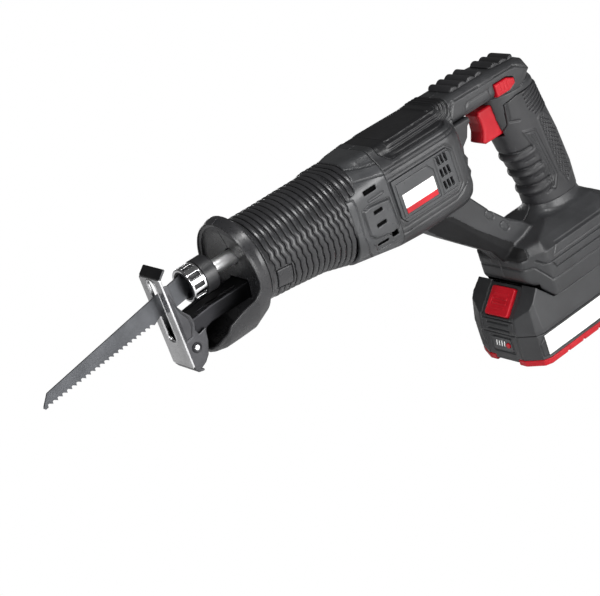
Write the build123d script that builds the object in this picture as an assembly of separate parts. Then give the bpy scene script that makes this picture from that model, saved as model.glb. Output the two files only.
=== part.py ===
from build123d import *
import math
import os

os.makedirs("parts", exist_ok=True)

# A cordless reciprocating saw, in millimetres.
# +Z is up, the nose points to -X and the tool's left side is -Y.
# The origin is on the stroke axis, where it crosses the front face of the shoe.

# ---------------------------------------------------------------- driving dimensions
WALL = 3.0              # housing wall
RUNNING_GAP = 0.05      # radial gap of a running fit
SLIDING_GAP = 0.3       # gap around a sliding button
REACH = 60.0            # further than the tool reaches to either side; length of through cutters

# stroke parts
STROKE = 12.5           # travel each way from rest
ROD_RADIUS = 5.75
ROD_FRONT = 46.0
ROD_REAR = 187.0
YOKE_X = 143.0          # middle of the yoke, straight above the wobble centre
YOKE_HALF = 7.5
BALL_RADIUS = 4.5
YOKE_PLAY = 0.2
COLLAR_FRONT = 23.0
COLLAR_REAR = 35.0
COLLAR_RADIUS = 13.0
COLLAR_NOTCHES = 8
HUB_RADIUS = 9.45
RING_RADIUS = 13.5
HUB_BOLT_RADIUS = 4.0   # neck of the rod inside the hub

# drive
WOBBLE_Z = -32.4
WOBBLE_TILT = 22.0      # degrees
WOBBLE_RING_RADIUS = 11.1
TRUNNION_RADIUS = 2.0
TRUNNION_REACH = 12.1   # half length over the two trunnions
WOBBLE_STEM_RADIUS = 2.2
JOURNAL_RADIUS = 4.5
RACE_RADIUS = 6.4
SMALL_BEARING_RADIUS = 7.0
GEAR_MODULE = 0.8
PINION_TEETH = 10
DRIVEN_TEETH = 36
MOTOR_Z = WOBBLE_Z + GEAR_MODULE * (PINION_TEETH + DRIVEN_TEETH) / 2
GEAR_FRONT = 163.0
GEAR_REAR = 171.0
CAN_RADIUS = 22.0
CAN_INNER = 20.8
SHAFT_RADIUS = 2.5
CORE_FRONT = 212.0
CORE_REAR = 240.0
COMMUTATOR_RADIUS = 8.0
FAN_RADIUS = 19.5
CAN_FRONT = 206.0
CAN_REAR = 254.0
FAN_FRONT = 200.7
FAN_BLADES = 11
WINDING_RADIUS = 13.0
BEARING_PLACES = [
    # front, rear, height, outer radius
    (108, 113, WOBBLE_Z, SMALL_BEARING_RADIUS), (177.5, 182.5, WOBBLE_Z, SMALL_BEARING_RADIUS),
    (190, 196, MOTOR_Z, 7.5), (259.5, 264, MOTOR_Z, 8.0),
]

# gear case
SEAL = (76.5, 80.0)     # front and rear of the lip seal
FRONT_BUSH = (80.0, 96.0)
REAR_BUSH = (173.0, 181.5)
BUSH_RADIUS = 8.0
CASE_HALF = 11.5        # outside half width over the yoke
CASE_BORE_HALF = 9.5    # inside half width over the yoke
CASE_FLANGE_X = 172.0
CASE_PLATE_X = 176.0
CASE_PLATE_REAR = 184.0
CASE_FLANGE = (27.5, -49.5, 10.8, 12)       # half width, bottom, top, corner
CASE_SCREW_SPOTS = [(-22, -44), (22, -44), (-22, 5), (22, 5)]

# blade
BLADE_THICK = 1.25
TANG_HEIGHT = 12.5
TANG_END = 41.0
TOOTH_PITCH = 4.23
TOOTH_COUNT = 23
TOOTH_DEPTH = 2.0

# shoe
SHOE_HALF = 13.4
SHOE_SHEET = 1.8
PIVOT_X = 8.4
PIVOT_Z = -38.8
PIVOT_RADIUS = 3.0
ARM_HALF = 11.0

# housing
BOOT_FRONT = 61.5
BOOT_REAR = 151.5
COVER_REAR = 190.5
BODY_HALF = 32.5
BODY_TAIL = 270.0
ARM_WIDTH_HALF = 19.0
STRUT_HALF = 13.0
FOOT_HALF = 39.0
FOOT_BOTTOM = -160.0
FOOT_FRONT = 289.0
FOOT_REAR = 400.0

# vents: nine slanting slots in three rows
VENT_FRONT = 237.5
VENT_TOP = -5.6
VENT_STEP_X = 3.7
VENT_STEP_Z = 9.9
VENT_HEIGHT = 6.4
VENT_WIDTH = 2.1
VENT_LEAN = 0.6

# battery
PACK_HALF = 39.0
PACK_FRONT = 268.0
PACK_REAR = 392.0
PACK_TOP = -161.0
PACK_SPLIT = -181.0
PACK_SKIRT = -203.0
PACK_BOTTOM = -209.0
PACK_WALL = 2.2
CELL_RADIUS = 9.1
CELL_LENGTH = 65.0
CELL_PITCH = 20.5
CELL_MIDDLE = 334.0
CELL_ROWS = (-173.6, -192.4)
PACK_SCREWS = [(285, -30), (285, 30), (375, -30), (375, 30)]
PACK_SCREW_SHANK = 1.3
PACK_SCREW_HEAD = 2.8
GAUGE_Z = -191.0
GAUGE_HALF = 11.0
GAUGE_BUTTON_Y = -7.2
TERMINALS = (-16, -8, 0, 8, 16)
TERMINAL_HALF = 0.4     # half the thickness of a contact blade
TERMINAL_BOTTOM = -156.5
TERMINAL_TOP = -150.5
CLIP_HALF = 0.95
RAIL_TOP = -147.0
RAIL_STEP = -155.0
RAIL_HALF = 31.0        # half width of the upper rail channel
RAIL_NECK_HALF = 26.0   # half width of the channel's neck
RAIL_PLAY = 0.4         # gap between rail and channel


# ---------------------------------------------------------------- helpers
def block(x0, x1, y0, y1, z0, z1):
    """A rectangular block given by its six faces."""
    return Pos((x0 + x1) / 2, (y0 + y1) / 2, (z0 + z1) / 2) * Box(x1 - x0, y1 - y0, z1 - z0)


def rod_x(radius, x0, x1, z=0.0, y=0.0):
    """A round bar along X."""
    return Pos((x0 + x1) / 2, y, z) * Rot(0, 90, 0) * Cylinder(radius, x1 - x0)


def tube_x(outer, inner, x0, x1, z=0.0, y=0.0):
    """A round tube along X."""
    return rod_x(outer, x0, x1, z, y) - rod_x(inner, x0 - 1, x1 + 1, z, y)


def rod_y(radius, y0, y1, x, z):
    """A round bar along Y."""
    return Pos(x, (y0 + y1) / 2, z) * Rot(90, 0, 0) * Cylinder(radius, y1 - y0)


def rod_z(radius, z0, z1, x, y=0.0):
    """A round bar along Z."""
    return Pos(x, y, (z0 + z1) / 2) * Cylinder(radius, z1 - z0)


def side_face(points, y):
    """A flat outline in the x-z plane at the given y."""
    return Plane.XZ.offset(-y) * Polygon(*points, align=None)


def side_prism(points, y0, y1):
    """A prism whose outline is seen from the side, from y0 to y1."""
    return extrude(side_face(points, y0), amount=y1 - y0, dir=(0, 1, 0))


def plan_prism(points, z0, z1):
    """A prism whose outline is seen from above, from z0 to z1."""
    return extrude(Pos(0, 0, z0) * Polygon(*points, align=None), amount=z1 - z0, dir=(0, 0, 1))


def section_x(x, half_width, z_low, z_high, corner):
    """A rounded rectangle standing across the tool at x."""
    plane = Plane(origin=(x, 0, (z_low + z_high) / 2), x_dir=(0, 1, 0), z_dir=(1, 0, 0))
    return plane * RectangleRounded(2 * half_width, z_high - z_low, corner)


def ellipse_x(x, z, half_width, half_height):
    """An ellipse standing across the tool at x."""
    plane = Plane(origin=(x, 0, z), x_dir=(0, 1, 0), z_dir=(1, 0, 0))
    return plane * Ellipse(half_width, half_height)


def mirror_y(solid):
    """The same solid on the other side of the tool."""
    return mirror(solid, about=Plane.XZ)


def save(name, shape):
    """Writes one node of the assembly."""
    solids = shape.solids()
    print(name, "solids", len(solids), "volume", round(sum(s.volume for s in solids), 1))
    node = Compound(label=name, children=list(solids)) if len(solids) > 1 else solids[0]
    export_step(node, f"parts/{name}.step")


# ---------------------------------------------------------------- housing outline
def body_solid(inset):
    """The barrel-shaped main body from the boot to the tail, shrunk by inset."""
    stations = [
        # x, half width, bottom, top, corner
        (BOOT_REAR, 33.0, -53.5, 22.5, 30.0),
        (COVER_REAR, BODY_HALF, -57.0, 18.0, 17.0),
        (212.0, BODY_HALF, -58.0, 14.0, 15.0),
        (258.0, BODY_HALF, -57.5, 14.0, 15.0),
    ]
    faces = [section_x(x, w - inset, low + inset, top - inset, c - inset) for x, w, low, top, c in stations]
    body = loft(faces, ruled=True)
    tail = loft([faces[-1], section_x(BODY_TAIL - inset, 25 - inset, -50 + inset, 8 - inset, 12 - inset)])
    return body + tail


def spine_solid(inset):
    """The narrower dark ridge along the top of the body."""
    stations = [(158.0 + inset, 17.0, 21.5), (200.0, 24.0, 22.8), (BODY_TAIL + 2 - inset, 20.0, 24.0)]
    faces = [section_x(x, w - inset, -6 + inset, top - inset, 9 - inset) for x, w, top in stations]
    return loft(faces, ruled=True)


ARM_OUTLINE = [(255, 2), (352, 2), (362, 8.5), (357, 19), (350, 21.5), (315, 24), (255, 24)]


def upper_arm_solid(inset):
    """The bridge over the trigger."""
    face = Plane.XZ * Polygon(*ARM_OUTLINE, align=None)
    if inset:
        face = offset(face, -inset, kind=Kind.INTERSECTION)
    half = ARM_WIDTH_HALF - inset
    arm = extrude(face, amount=half, both=True)
    long_edges = [e for e in arm.edges() if abs(abs(e.center().Y) - half) < 0.01 and e.length > 25]
    return fillet(long_edges, 8 - inset)


def grip_solid(inset):
    """The handle, an oval that leans back as it goes down."""
    stations = [
        # height, front, rear, half width
        (16, 321, 358, 15.0),
        (0, 317, 368, 18.5),
        (-20, 319, 371.5, 18.5),
        (-50, 325.5, 378, 18.0),
        (-80, 333, 381.5, 18.0),
        (-100, 334.5, 381, 19.0),
        (-116, 326, 386, 24.0),
    ]
    faces = []
    for z, front, rear, half in stations:
        oval = Ellipse((rear - front) / 2 - inset, half - inset)
        faces.append(Pos((front + rear) / 2, 0, z) * oval)
    return loft(faces)


STRUT_OUTLINE = [
    (214, -50), (224, -64), (243, -81), (268, -102), (280, -112), (291, -130), (330, -130), (345, -112),
    (318, -103), (302, -94), (286, -77), (273, -60), (268, -50),
]


def strut_solid(inset):
    """The brace that closes the hand opening below."""
    face = Plane.XZ * Polygon(*STRUT_OUTLINE, align=None)
    if inset:
        face = offset(face, -inset, kind=Kind.INTERSECTION)
    return extrude(face, amount=STRUT_HALF - inset, both=True)


def foot_plan(inset, front, rear, half):
    """The foot seen from above: narrow at the front, square at the back."""
    nose = 25.0 - inset * 0.6
    return [
        (front + inset, -nose), (front + 15 + inset * 0.5, -half + inset), (rear - 10 - inset * 0.4, -half + inset),
        (rear - inset, -half + 10 + inset * 0.4), (rear - inset, half - 10 - inset * 0.4),
        (rear - 10 - inset * 0.4, half - inset), (front + 15 + inset * 0.5, half - inset), (front + inset, nose),
    ]


def foot_solid(inset):
    """The wide block the battery hangs from, with sloping shoulders."""
    base = plan_prism(foot_plan(inset, FOOT_FRONT, FOOT_REAR, FOOT_HALF), FOOT_BOTTOM, -128)
    shoulder = loft([
        Pos(0, 0, -128) * Polygon(*foot_plan(inset, FOOT_FRONT, FOOT_REAR, FOOT_HALF), align=None),
        Pos(0, 0, -118 - inset) * Polygon(*foot_plan(inset, 302, 394, 34), align=None),
        Pos(0, 0, -110 - inset) * Polygon(*foot_plan(inset, 322, 386, 26), align=None),
    ], ruled=True)
    foot = base + shoulder
    undercut = [(280, -141 + inset), (288.7, -141 + inset), (303, -158.6 + inset), (303, -175), (280, -175)]
    return foot - side_prism(undercut, -REACH, REACH)


def outer_solid():
    """The whole outside of the housing in one piece."""
    return body_solid(0) + spine_solid(0) + upper_arm_solid(0) + grip_solid(0) + strut_solid(0) + foot_solid(0)


def cavity_solid():
    """The space inside the housing."""
    inside = body_solid(WALL) + spine_solid(WALL) + upper_arm_solid(WALL) + grip_solid(WALL + 0.5)
    inside += strut_solid(WALL)
    return inside + foot_inside()


def foot_inside():
    """The hollow of the foot above the ceiling of the battery rails."""
    return foot_solid(WALL) & block(FOOT_FRONT + WALL, FOOT_REAR, -REACH, REACH, -143, -100)


# ---------------------------------------------------------------- nose boot
def barrel_loft(inset, x0, x1):
    """The oval rubber barrel between two stations."""
    stations = {69.5: (35.8, -6.4, 35.8), 77.0: (32.0, -9.0, 32.0), 127.0: (34.2, -12.0, 34.2),
                BOOT_REAR: (33.0, -15.5, 38.0), 158.0: (33.0, -15.8, 38.2)}
    faces = [ellipse_x(x, z, w - inset, h - inset) for x, (w, z, h) in stations.items() if x0 <= x <= x1]
    return loft(faces, ruled=True)


CHIN_STATIONS = [
    # x, middle height, half width, half height
    (70.0, -8.0, 36.5, 38.0), (56.0, -14.0, 35.0, 40.0), (44.0, -24.0, 29.0, 31.0),
    (32.0, -36.0, 22.0, 19.5), (22.5, -45.5, 11.0, 8.0),
]


def chin_loft(inset, front):
    """The scoop under the shoe arm, from the flange forward."""
    faces = [ellipse_x(x, z, w - inset, h - inset) for x, z, w, h in CHIN_STATIONS[:-1]]
    x, z, w, h = CHIN_STATIONS[-1]
    faces.append(ellipse_x(front, z + inset * 0.2, w - inset, h - inset))
    return loft(faces)


def boot_grooves():
    """Cutters for the kinked rings round the barrel."""
    core = barrel_loft(1.3, 77.0, 158.0)
    cutters = None
    for index in range(13):
        x = 86.0 + 4.9 * index
        band = [(x, 40), (x, 2), (x - 4, -6), (x, -14), (x, -60),
                (x + 1.7, -60), (x + 1.7, -14), (x - 2.3, -6), (x + 1.7, 2), (x + 1.7, 40)]
        ring = side_prism(band, -45, 45)
        cutters = ring if cutters is None else cutters + ring
    return cutters - core


def make_nose_boot():
    """Flared rim, chin and ribbed barrel of soft rubber."""
    flange = loft([ellipse_x(63.0, -5.4, 35.0, 35.0), ellipse_x(69.5, -6.4, 37.0, 37.0)], ruled=True)
    rim_cut = [(BOOT_FRONT, 60), (BOOT_FRONT, -13), (60, -18), (54, -24), (46, -27.4), (34.5, -35), (31.5, -40),
               (23, -50), (10, -54), (10, 60)]
    chin = chin_loft(0, 22.5) - side_prism(rim_cut, -REACH, REACH)
    barrel = barrel_loft(0, 69.5, BOOT_REAR)
    shell = barrel + flange + chin
    shell -= barrel_loft(WALL, 69.5, 158.0)
    shell -= chin_loft(WALL, 20.0) - block(66.0, 90, -REACH, REACH, -REACH, REACH)
    dish = loft([ellipse_x(60.0, -5.4, 32.0, 32.0), ellipse_x(66.0, -5.4, 26.0, 26.0)], ruled=True)
    shell -= dish
    shell -= boot_grooves()
    shell -= rod_x(ROD_RADIUS + 1.5, 55, 80)
    shell -= block(55, 80, -ARM_HALF - 0.4, ARM_HALF + 0.4, -30.5, -17.5)
    ring = barrel_loft(0.5, 77.0, 158.0) & block(BOOT_REAR - 2.5, BOOT_REAR, -REACH, REACH, -90, 60)
    spigot = body_solid(WALL) & block(BOOT_REAR - 1, BOOT_REAR + 5.5, -REACH, REACH, -90, 60)
    return shell + ((ring + spigot) - body_solid(WALL + 2.2) - spigot_core())


def spigot_core():
    """The opening through the ring that joins barrel and spigot."""
    return extrude(section_x(BOOT_REAR - 4, 27.8, -48.3, 17.3, 24.8), amount=6, dir=(1, 0, 0))


# ---------------------------------------------------------------- shoe
SHOE_OUTLINE = [
    (0, 14), (5.5, 12.5), (6, -5), (9, -10.5), (13, -15.5), (14, -22), (12.5, -27), (14, -31), (20.4, -29.4),
    (18.8, -38.8), (15, -48.4), (11, -52.3), (3, -56), (0, -51.7),
]


def make_shoe():
    """The folded steel shoe with its blade slot and side ears."""
    plate = block(0, SHOE_SHEET, -SHOE_HALF, SHOE_HALF, -51.7, 19.4)
    flap_outline = [(0, 19.4), (6, 24.4), (7.2, 23.0), (1.8, 18.5), (1.8, 17), (0, 17)]
    flap = side_prism(flap_outline, -SHOE_HALF, SHOE_HALF)
    lip = side_prism([(0, -50), (0, -51.7), (3, -56), (7, -57), (7, -55.2), (3.8, -54.3), (1.8, -51), (1.8, -50)],
                     -SHOE_HALF, SHOE_HALF)
    ear = side_prism(SHOE_OUTLINE, SHOE_HALF - SHOE_SHEET, SHOE_HALF)
    shoe = plate + flap + lip + ear + mirror_y(ear)
    slot = Plane(origin=(-1, 0, -7.2), x_dir=(0, 0, 1), z_dir=(1, 0, 0)) * SlotOverall(48.5, 9.0)
    shoe -= extrude(slot, amount=5)
    shoe -= rod_y(PIVOT_RADIUS + RUNNING_GAP, -20, 20, PIVOT_X, PIVOT_Z)
    return shoe


SHOE_ARM_OUTLINE = [
    (2.6, -40), (4.2, -33.5), (9, -24), (14, -20), (33, -18), (104, -18), (104, -30), (28, -30), (23, -31.6),
    (17, -41), (12, -44.6), (6, -44.6),
]


def make_shoe_arm():
    """The channel that carries the shoe and runs back into the gear case."""
    arm = side_prism(SHOE_ARM_OUTLINE, -ARM_HALF, ARM_HALF)
    hollow = [(0, -50), (0, -37), (7, -26.5), (15.5, -22.4), (33, -20.4), (100, -20.4), (100, -32), (28, -50)]
    arm -= side_prism(hollow, -ARM_HALF + 2.4, ARM_HALF - 2.4)
    return arm - rod_y(PIVOT_RADIUS, -20, 20, PIVOT_X, PIVOT_Z)


def make_shoe_pivot_pin():
    """The rivet the shoe tilts on."""
    pin = rod_y(PIVOT_RADIUS, -14.2, 14.2, PIVOT_X, PIVOT_Z)
    head = rod_y(4.8, 13.5, 15.0, PIVOT_X, PIVOT_Z)
    return pin + head + mirror_y(head)


# ---------------------------------------------------------------- blade and its clamp
BLADE_BACK = [(23.4, 9.2), (-6, 4.2), (-101, -13.0)]
BLADE_TIP = [(-106.6, -20.0), (-107.4, -21.6), (-106.4, -22.8), (-105.4, -22.6)]
TOOTH_LINE_FRONT = (-104.0, -22.4)
TOOTH_LINE_REAR = (-9.0, -13.0)


def make_saw_blade():
    """A tapered wood-cutting blade whose teeth point back to the tool."""
    dx = TOOTH_LINE_REAR[0] - TOOTH_LINE_FRONT[0]
    dz = TOOTH_LINE_REAR[1] - TOOTH_LINE_FRONT[1]
    length = math.hypot(dx, dz)
    along = (dx / length, dz / length)
    across = (-along[1], along[0])
    edge = []
    pitch = length / TOOTH_COUNT
    for index in range(TOOTH_COUNT):
        start = index * pitch
        for step, depth in ((0.0, 0.0), (0.12, TOOTH_DEPTH), (0.40, TOOTH_DEPTH), (0.80, TOOTH_DEPTH * 0.35)):
            s = start + step * pitch
            edge.append((TOOTH_LINE_FRONT[0] + along[0] * s + across[0] * depth,
                         TOOTH_LINE_FRONT[1] + along[1] * s + across[1] * depth))
    edge.append(TOOTH_LINE_REAR)
    neck = [(-3.0, -9.8), (11.7, -10.2), (20.5, -8.9), (23.4, -9.2), (23.4, -TANG_HEIGHT / 2)]
    tang = [(TANG_END, -TANG_HEIGHT / 2), (TANG_END, TANG_HEIGHT / 2), (23.4, TANG_HEIGHT / 2)]
    outline = tang + BLADE_BACK + BLADE_TIP + edge + neck
    blade = side_prism(outline, -BLADE_THICK / 2, BLADE_THICK / 2)
    return blade - rod_y(2.0, -5, 5, 33.0, 0.0)


def make_clamp_body():
    """The hub on the end of the rod with the slot for the blade's tang."""
    hub = rod_x(HUB_RADIUS, 27.0, ROD_FRONT)
    hub -= block(26, TANG_END + 1, -BLADE_THICK / 2 - 0.05, BLADE_THICK / 2 + 0.05,
                 -TANG_HEIGHT / 2 - 0.1, TANG_HEIGHT / 2 + 0.1)
    return hub - rod_x(HUB_BOLT_RADIUS, 43.0, ROD_FRONT + 1)


def make_clamp_ring():
    """The black ring behind the collar."""
    ring = rod_x(RING_RADIUS, COLLAR_REAR + 0.2, ROD_FRONT)
    ring = chamfer(ring.edges().sort_by(Axis.X)[-1], 1.2)
    return ring - rod_x(HUB_RADIUS, 30, 50)


def make_clamp_collar():
    """The castellated collar that is twisted to free the blade."""
    collar = tube_x(COLLAR_RADIUS, HUB_RADIUS + RUNNING_GAP, COLLAR_FRONT, COLLAR_REAR)
    for index in range(COLLAR_NOTCHES):
        notch = block(COLLAR_FRONT + 4, COLLAR_REAR - 3, -2.6, 2.6, COLLAR_RADIUS - 1.5, COLLAR_RADIUS + 2)
        collar -= Rot(360 / COLLAR_NOTCHES * (index + 0.5), 0, 0) * notch
    for index in range(COLLAR_NOTCHES):
        gap = block(COLLAR_FRONT - 1, COLLAR_FRONT + 1.6, -1.6, 1.6, 8, COLLAR_RADIUS + 2)
        collar -= Rot(360 / COLLAR_NOTCHES * index, 0, 0) * gap
    return collar


# ---------------------------------------------------------------- drive
def make_plunger():
    """The sliding rod with its slotted yoke."""
    rod = rod_x(ROD_RADIUS, ROD_FRONT, ROD_REAR) + rod_x(HUB_BOLT_RADIUS, 43.0, ROD_FRONT + 1)
    yoke = block(YOKE_X - YOKE_HALF, YOKE_X + YOKE_HALF, -8, 8, -7.5, 7.5)
    slot_half = BALL_RADIUS + YOKE_PLAY
    slot = block(YOKE_X - slot_half, YOKE_X + slot_half, -BALL_RADIUS - 0.3, BALL_RADIUS + 0.3, -9, 5.2)
    return rod + yoke - slot


def make_wobble_arm():
    """The ring round the slanting journal, with its two trunnions and the ball arm that drives the yoke."""
    ring = tube_x(WOBBLE_RING_RADIUS, 9.0, YOKE_X - 3.5, YOKE_X + 3.5, WOBBLE_Z)
    stem = rod_z(WOBBLE_STEM_RADIUS, WOBBLE_Z + WOBBLE_RING_RADIUS - 1.0, -1, YOKE_X)
    trunnions = rod_y(TRUNNION_RADIUS, -TRUNNION_REACH, TRUNNION_REACH, YOKE_X, WOBBLE_Z)
    trunnions -= rod_y(TRUNNION_RADIUS + 1, -10, 10, YOKE_X, WOBBLE_Z)
    return ring + trunnions + stem + Pos(YOKE_X, 0, 0) * Sphere(BALL_RADIUS)


def make_wobble_shaft():
    """The lower shaft with its slanting journal."""
    shaft = rod_x(2.5, 108, 186, WOBBLE_Z)
    shaft += rod_x(4.0, 114, 128, WOBBLE_Z) + rod_x(4.0, 148, 176, WOBBLE_Z)
    journal = Pos(YOKE_X, 0, WOBBLE_Z) * Rot(0, 0, WOBBLE_TILT) * Rot(0, 90, 0) * Cylinder(JOURNAL_RADIUS, 10)
    return shaft + journal


def make_wobble_race():
    """The inner race on the slanting journal."""
    race = Cylinder(RACE_RADIUS, 5) - Cylinder(JOURNAL_RADIUS, 7)
    return Pos(YOKE_X, 0, WOBBLE_Z) * Rot(0, 0, WOBBLE_TILT) * Rot(0, 90, 0) * race


def gear_outline(teeth, phase):
    """A spur gear outline with involute flanks and a little backlash, as points round the centre."""
    pitch_radius = GEAR_MODULE * teeth / 2
    base = pitch_radius * math.cos(math.radians(20))
    tip = pitch_radius + 0.75 * GEAR_MODULE
    root = pitch_radius - 1.1 * GEAR_MODULE
    half_pitch = math.pi / (2 * teeth) - 0.10 / pitch_radius
    involute_at_pitch = math.tan(math.radians(20)) - math.radians(20)
    flank = []
    for step in range(5):
        radius = max(base, root) + (tip - max(base, root)) * step / 4
        pressure = math.acos(min(1.0, base / radius))
        flank.append((radius, half_pitch + involute_at_pitch - (math.tan(pressure) - pressure)))
    flank.insert(0, (root, flank[0][1]))
    points = []
    for tooth in range(teeth):
        middle = 2 * math.pi * tooth / teeth + phase
        for radius, angle in flank:
            points.append((radius * math.cos(middle - angle), radius * math.sin(middle - angle)))
        for radius, angle in reversed(flank):
            points.append((radius * math.cos(middle + angle), radius * math.sin(middle + angle)))
    return points


def gear_solid(teeth, phase, z):
    """A spur gear whose axis runs along X at height z."""
    plane = Plane(origin=(GEAR_FRONT, 0, z), x_dir=(0, 1, 0), z_dir=(1, 0, 0))
    return extrude(plane * Polygon(*gear_outline(teeth, phase), align=None), amount=GEAR_REAR - GEAR_FRONT)


def make_driven_gear():
    """The large gear on the wobble shaft, in mesh below the pinion."""
    return gear_solid(DRIVEN_TEETH, math.pi / 2, WOBBLE_Z) - rod_x(4.0, 150, 180, WOBBLE_Z)


def make_motor_shaft():
    """The motor shaft with the pinion cut on its front end."""
    pinion = gear_solid(PINION_TEETH, -math.pi / 2 + math.pi / PINION_TEETH, MOTOR_Z)
    return rod_x(SHAFT_RADIUS, GEAR_FRONT, 266, MOTOR_Z) + pinion


def turned(solid, degrees):
    """A solid placed round the motor axis."""
    return Pos(0, 0, MOTOR_Z) * Rot(degrees, 0, 0) * solid


def make_rotor_core():
    """The slotted steel stack of the rotor."""
    core = tube_x(17, SHAFT_RADIUS, CORE_FRONT, CORE_REAR, MOTOR_Z)
    for index in range(12):
        core -= turned(block(CORE_FRONT - 1, CORE_REAR + 1, -1.0, 1.0, 13.5, 18), 30 * index)
    return core


def make_rotor_windings():
    """The two rings of copper at the ends of the stack."""
    front = tube_x(WINDING_RADIUS, SHAFT_RADIUS, CORE_FRONT - 4.4, CORE_FRONT, MOTOR_Z)
    rear = tube_x(WINDING_RADIUS, SHAFT_RADIUS, CORE_REAR, CORE_REAR + 5.5, MOTOR_Z)
    return Compound(children=front.solids() + rear.solids())


def make_commutator():
    """The copper-barred drum the brushes ride on."""
    drum = tube_x(COMMUTATOR_RADIUS, SHAFT_RADIUS, CORE_REAR + 5.6, CORE_REAR + 15, MOTOR_Z)
    for index in range(12):
        bar_gap = block(CORE_REAR + 7, CORE_REAR + 16, -0.25, 0.25, COMMUTATOR_RADIUS - 0.7, 9)
        drum -= turned(bar_gap, 30 * index + 15)
    return drum


def make_cooling_fan():
    """A hub and disc with straight blades."""
    disc_front = FAN_FRONT + 3.6
    disc_rear = FAN_FRONT + 4.7
    fan = tube_x(5, SHAFT_RADIUS, FAN_FRONT, disc_rear, MOTOR_Z)
    fan += tube_x(FAN_RADIUS, SHAFT_RADIUS, disc_front, disc_rear, MOTOR_Z)
    for index in range(FAN_BLADES):
        vane = block(FAN_FRONT, disc_front + 0.3, -0.7, 0.7, 7, FAN_RADIUS - 0.5)
        fan += turned(vane, 360 / FAN_BLADES * index)
    return fan


def make_motor_can():
    """The steel can, closed at the front."""
    can = tube_x(CAN_RADIUS, CAN_INNER, CAN_FRONT, CAN_REAR, MOTOR_Z)
    can += tube_x(CAN_RADIUS - 0.5, 6.0, CAN_FRONT, CAN_FRONT + 1.2, MOTOR_Z)
    for index in range(4):
        can -= turned(block(CAN_FRONT - 1, CAN_FRONT + 2, -3, 3, 12, 18), 90 * index + 45)
    return can


def make_motor_magnets():
    """Four curved magnets inside the can."""
    ring = tube_x(CAN_INNER, 17.5, CORE_FRONT - 2, CORE_REAR + 3, MOTOR_Z)
    ring -= Pos(0, 0, MOTOR_Z) * (block(200, 260, -2.5, 2.5, -30, 30) + block(200, 260, -30, 30, -2.5, 2.5))
    return Compound(children=ring.solids())


def make_motor_end_cap():
    """The moulded cap with the rear bearing seat and brush pockets."""
    cap = tube_x(CAN_RADIUS, 8.0, CAN_REAR, 264, MOTOR_Z) - rod_x(CAN_RADIUS - 3, CAN_REAR - 1, 259.5, MOTOR_Z)
    cap += tube_x(CAN_INNER, CAN_RADIUS - 3, CAN_REAR - 4, CAN_REAR + 1, MOTOR_Z)
    for side in (-1, 1):
        holder = block(247.5, 259.6, -5, 5, 11.5, 18.5) - block(249, 255, -3, 3, 8, 20)
        cap += turned(holder, 90 * side)
    return cap


def make_motor_brushes():
    """Two carbon blocks that rest on the commutator."""
    brush = block(249, 255, -3, 3, COMMUTATOR_RADIUS + 0.05, 17.0)
    return Compound(children=[turned(brush, 90 * side).solids()[0] for side in (-1, 1)])


def make_drive_bearings():
    """Ball bearings of the two shafts."""
    solids = [tube_x(radius, SHAFT_RADIUS, x0, x1, z) for x0, x1, z, radius in BEARING_PLACES]
    return Compound(children=[s for t in solids for s in t.solids()])


def make_front_bush():
    """The long bronze bush behind the seal."""
    return tube_x(BUSH_RADIUS, ROD_RADIUS + RUNNING_GAP, *FRONT_BUSH)


def make_rear_bush():
    """The short bronze bush behind the yoke."""
    return tube_x(BUSH_RADIUS, ROD_RADIUS + RUNNING_GAP, *REAR_BUSH)


def make_rod_seal():
    """The lip seal round the rod."""
    return tube_x(9.0, ROD_RADIUS + RUNNING_GAP, *SEAL)


def make_gear_case():
    """The casting that holds the plunger and the wobble drive, open at the rear."""
    case = rod_x(CASE_HALF, SEAL[0], 160) + block(111.5, CASE_FLANGE_X, -CASE_HALF, CASE_HALF, WOBBLE_Z, 10.3)
    case += block(100, 112, -CASE_HALF, CASE_HALF, WOBBLE_Z, 0) + block(82, 104, -13.5, 13.5, -33, -8)
    case += rod_x(8.5, 106, 140, WOBBLE_Z) + rod_x(12.8, 134.5, 140, WOBBLE_Z)
    case += rod_x(13.9, 139.5, 160, WOBBLE_Z) + rod_x(17.6, 157.2, CASE_FLANGE_X, WOBBLE_Z)
    case += extrude(section_x(CASE_FLANGE_X, *CASE_FLANGE), amount=CASE_PLATE_X - CASE_FLANGE_X, dir=(1, 0, 0))
    case -= rod_x(CASE_BORE_HALF, 100, 178) + block(113, 178, -CASE_BORE_HALF, CASE_BORE_HALF, WOBBLE_Z, 8.5)
    case -= rod_x(SMALL_BEARING_RADIUS, 108, 134, WOBBLE_Z) + rod_x(11.3, 133.9, 140, WOBBLE_Z)
    case -= rod_x(12.4, 139.4, 159, WOBBLE_Z) + rod_x(15.9, 158.8, 178, WOBBLE_Z)
    case -= rod_x(BUSH_RADIUS, FRONT_BUSH[0], 101) + rod_x(ROD_RADIUS + 1, 70, 101) + rod_x(9.0, 70, 80)
    case -= block(80, 104, -ARM_HALF, ARM_HALF, -30, -18)
    return cut_case_screws(case)


def make_gear_case_plate():
    """The rear plate that closes the gear case and carries the rear bearings."""
    plate = extrude(section_x(CASE_PLATE_X, *CASE_FLANGE), amount=CASE_PLATE_REAR - CASE_PLATE_X, dir=(1, 0, 0))
    plate += rod_x(9.4, REAR_BUSH[0], CASE_PLATE_REAR) + rod_x(10.5, CASE_PLATE_REAR, 198, MOTOR_Z)
    plate -= rod_x(BUSH_RADIUS, 170, REAR_BUSH[1]) + rod_x(ROD_RADIUS + 0.6, 180, 200)
    plate -= rod_x(SMALL_BEARING_RADIUS, 170, 182.5, WOBBLE_Z) + rod_x(3.5, 180, 190, WOBBLE_Z)
    plate -= rod_x(5.4, 170, 190, MOTOR_Z) + rod_x(7.5, 190, 200, MOTOR_Z)
    return cut_case_screws(plate)


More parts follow.
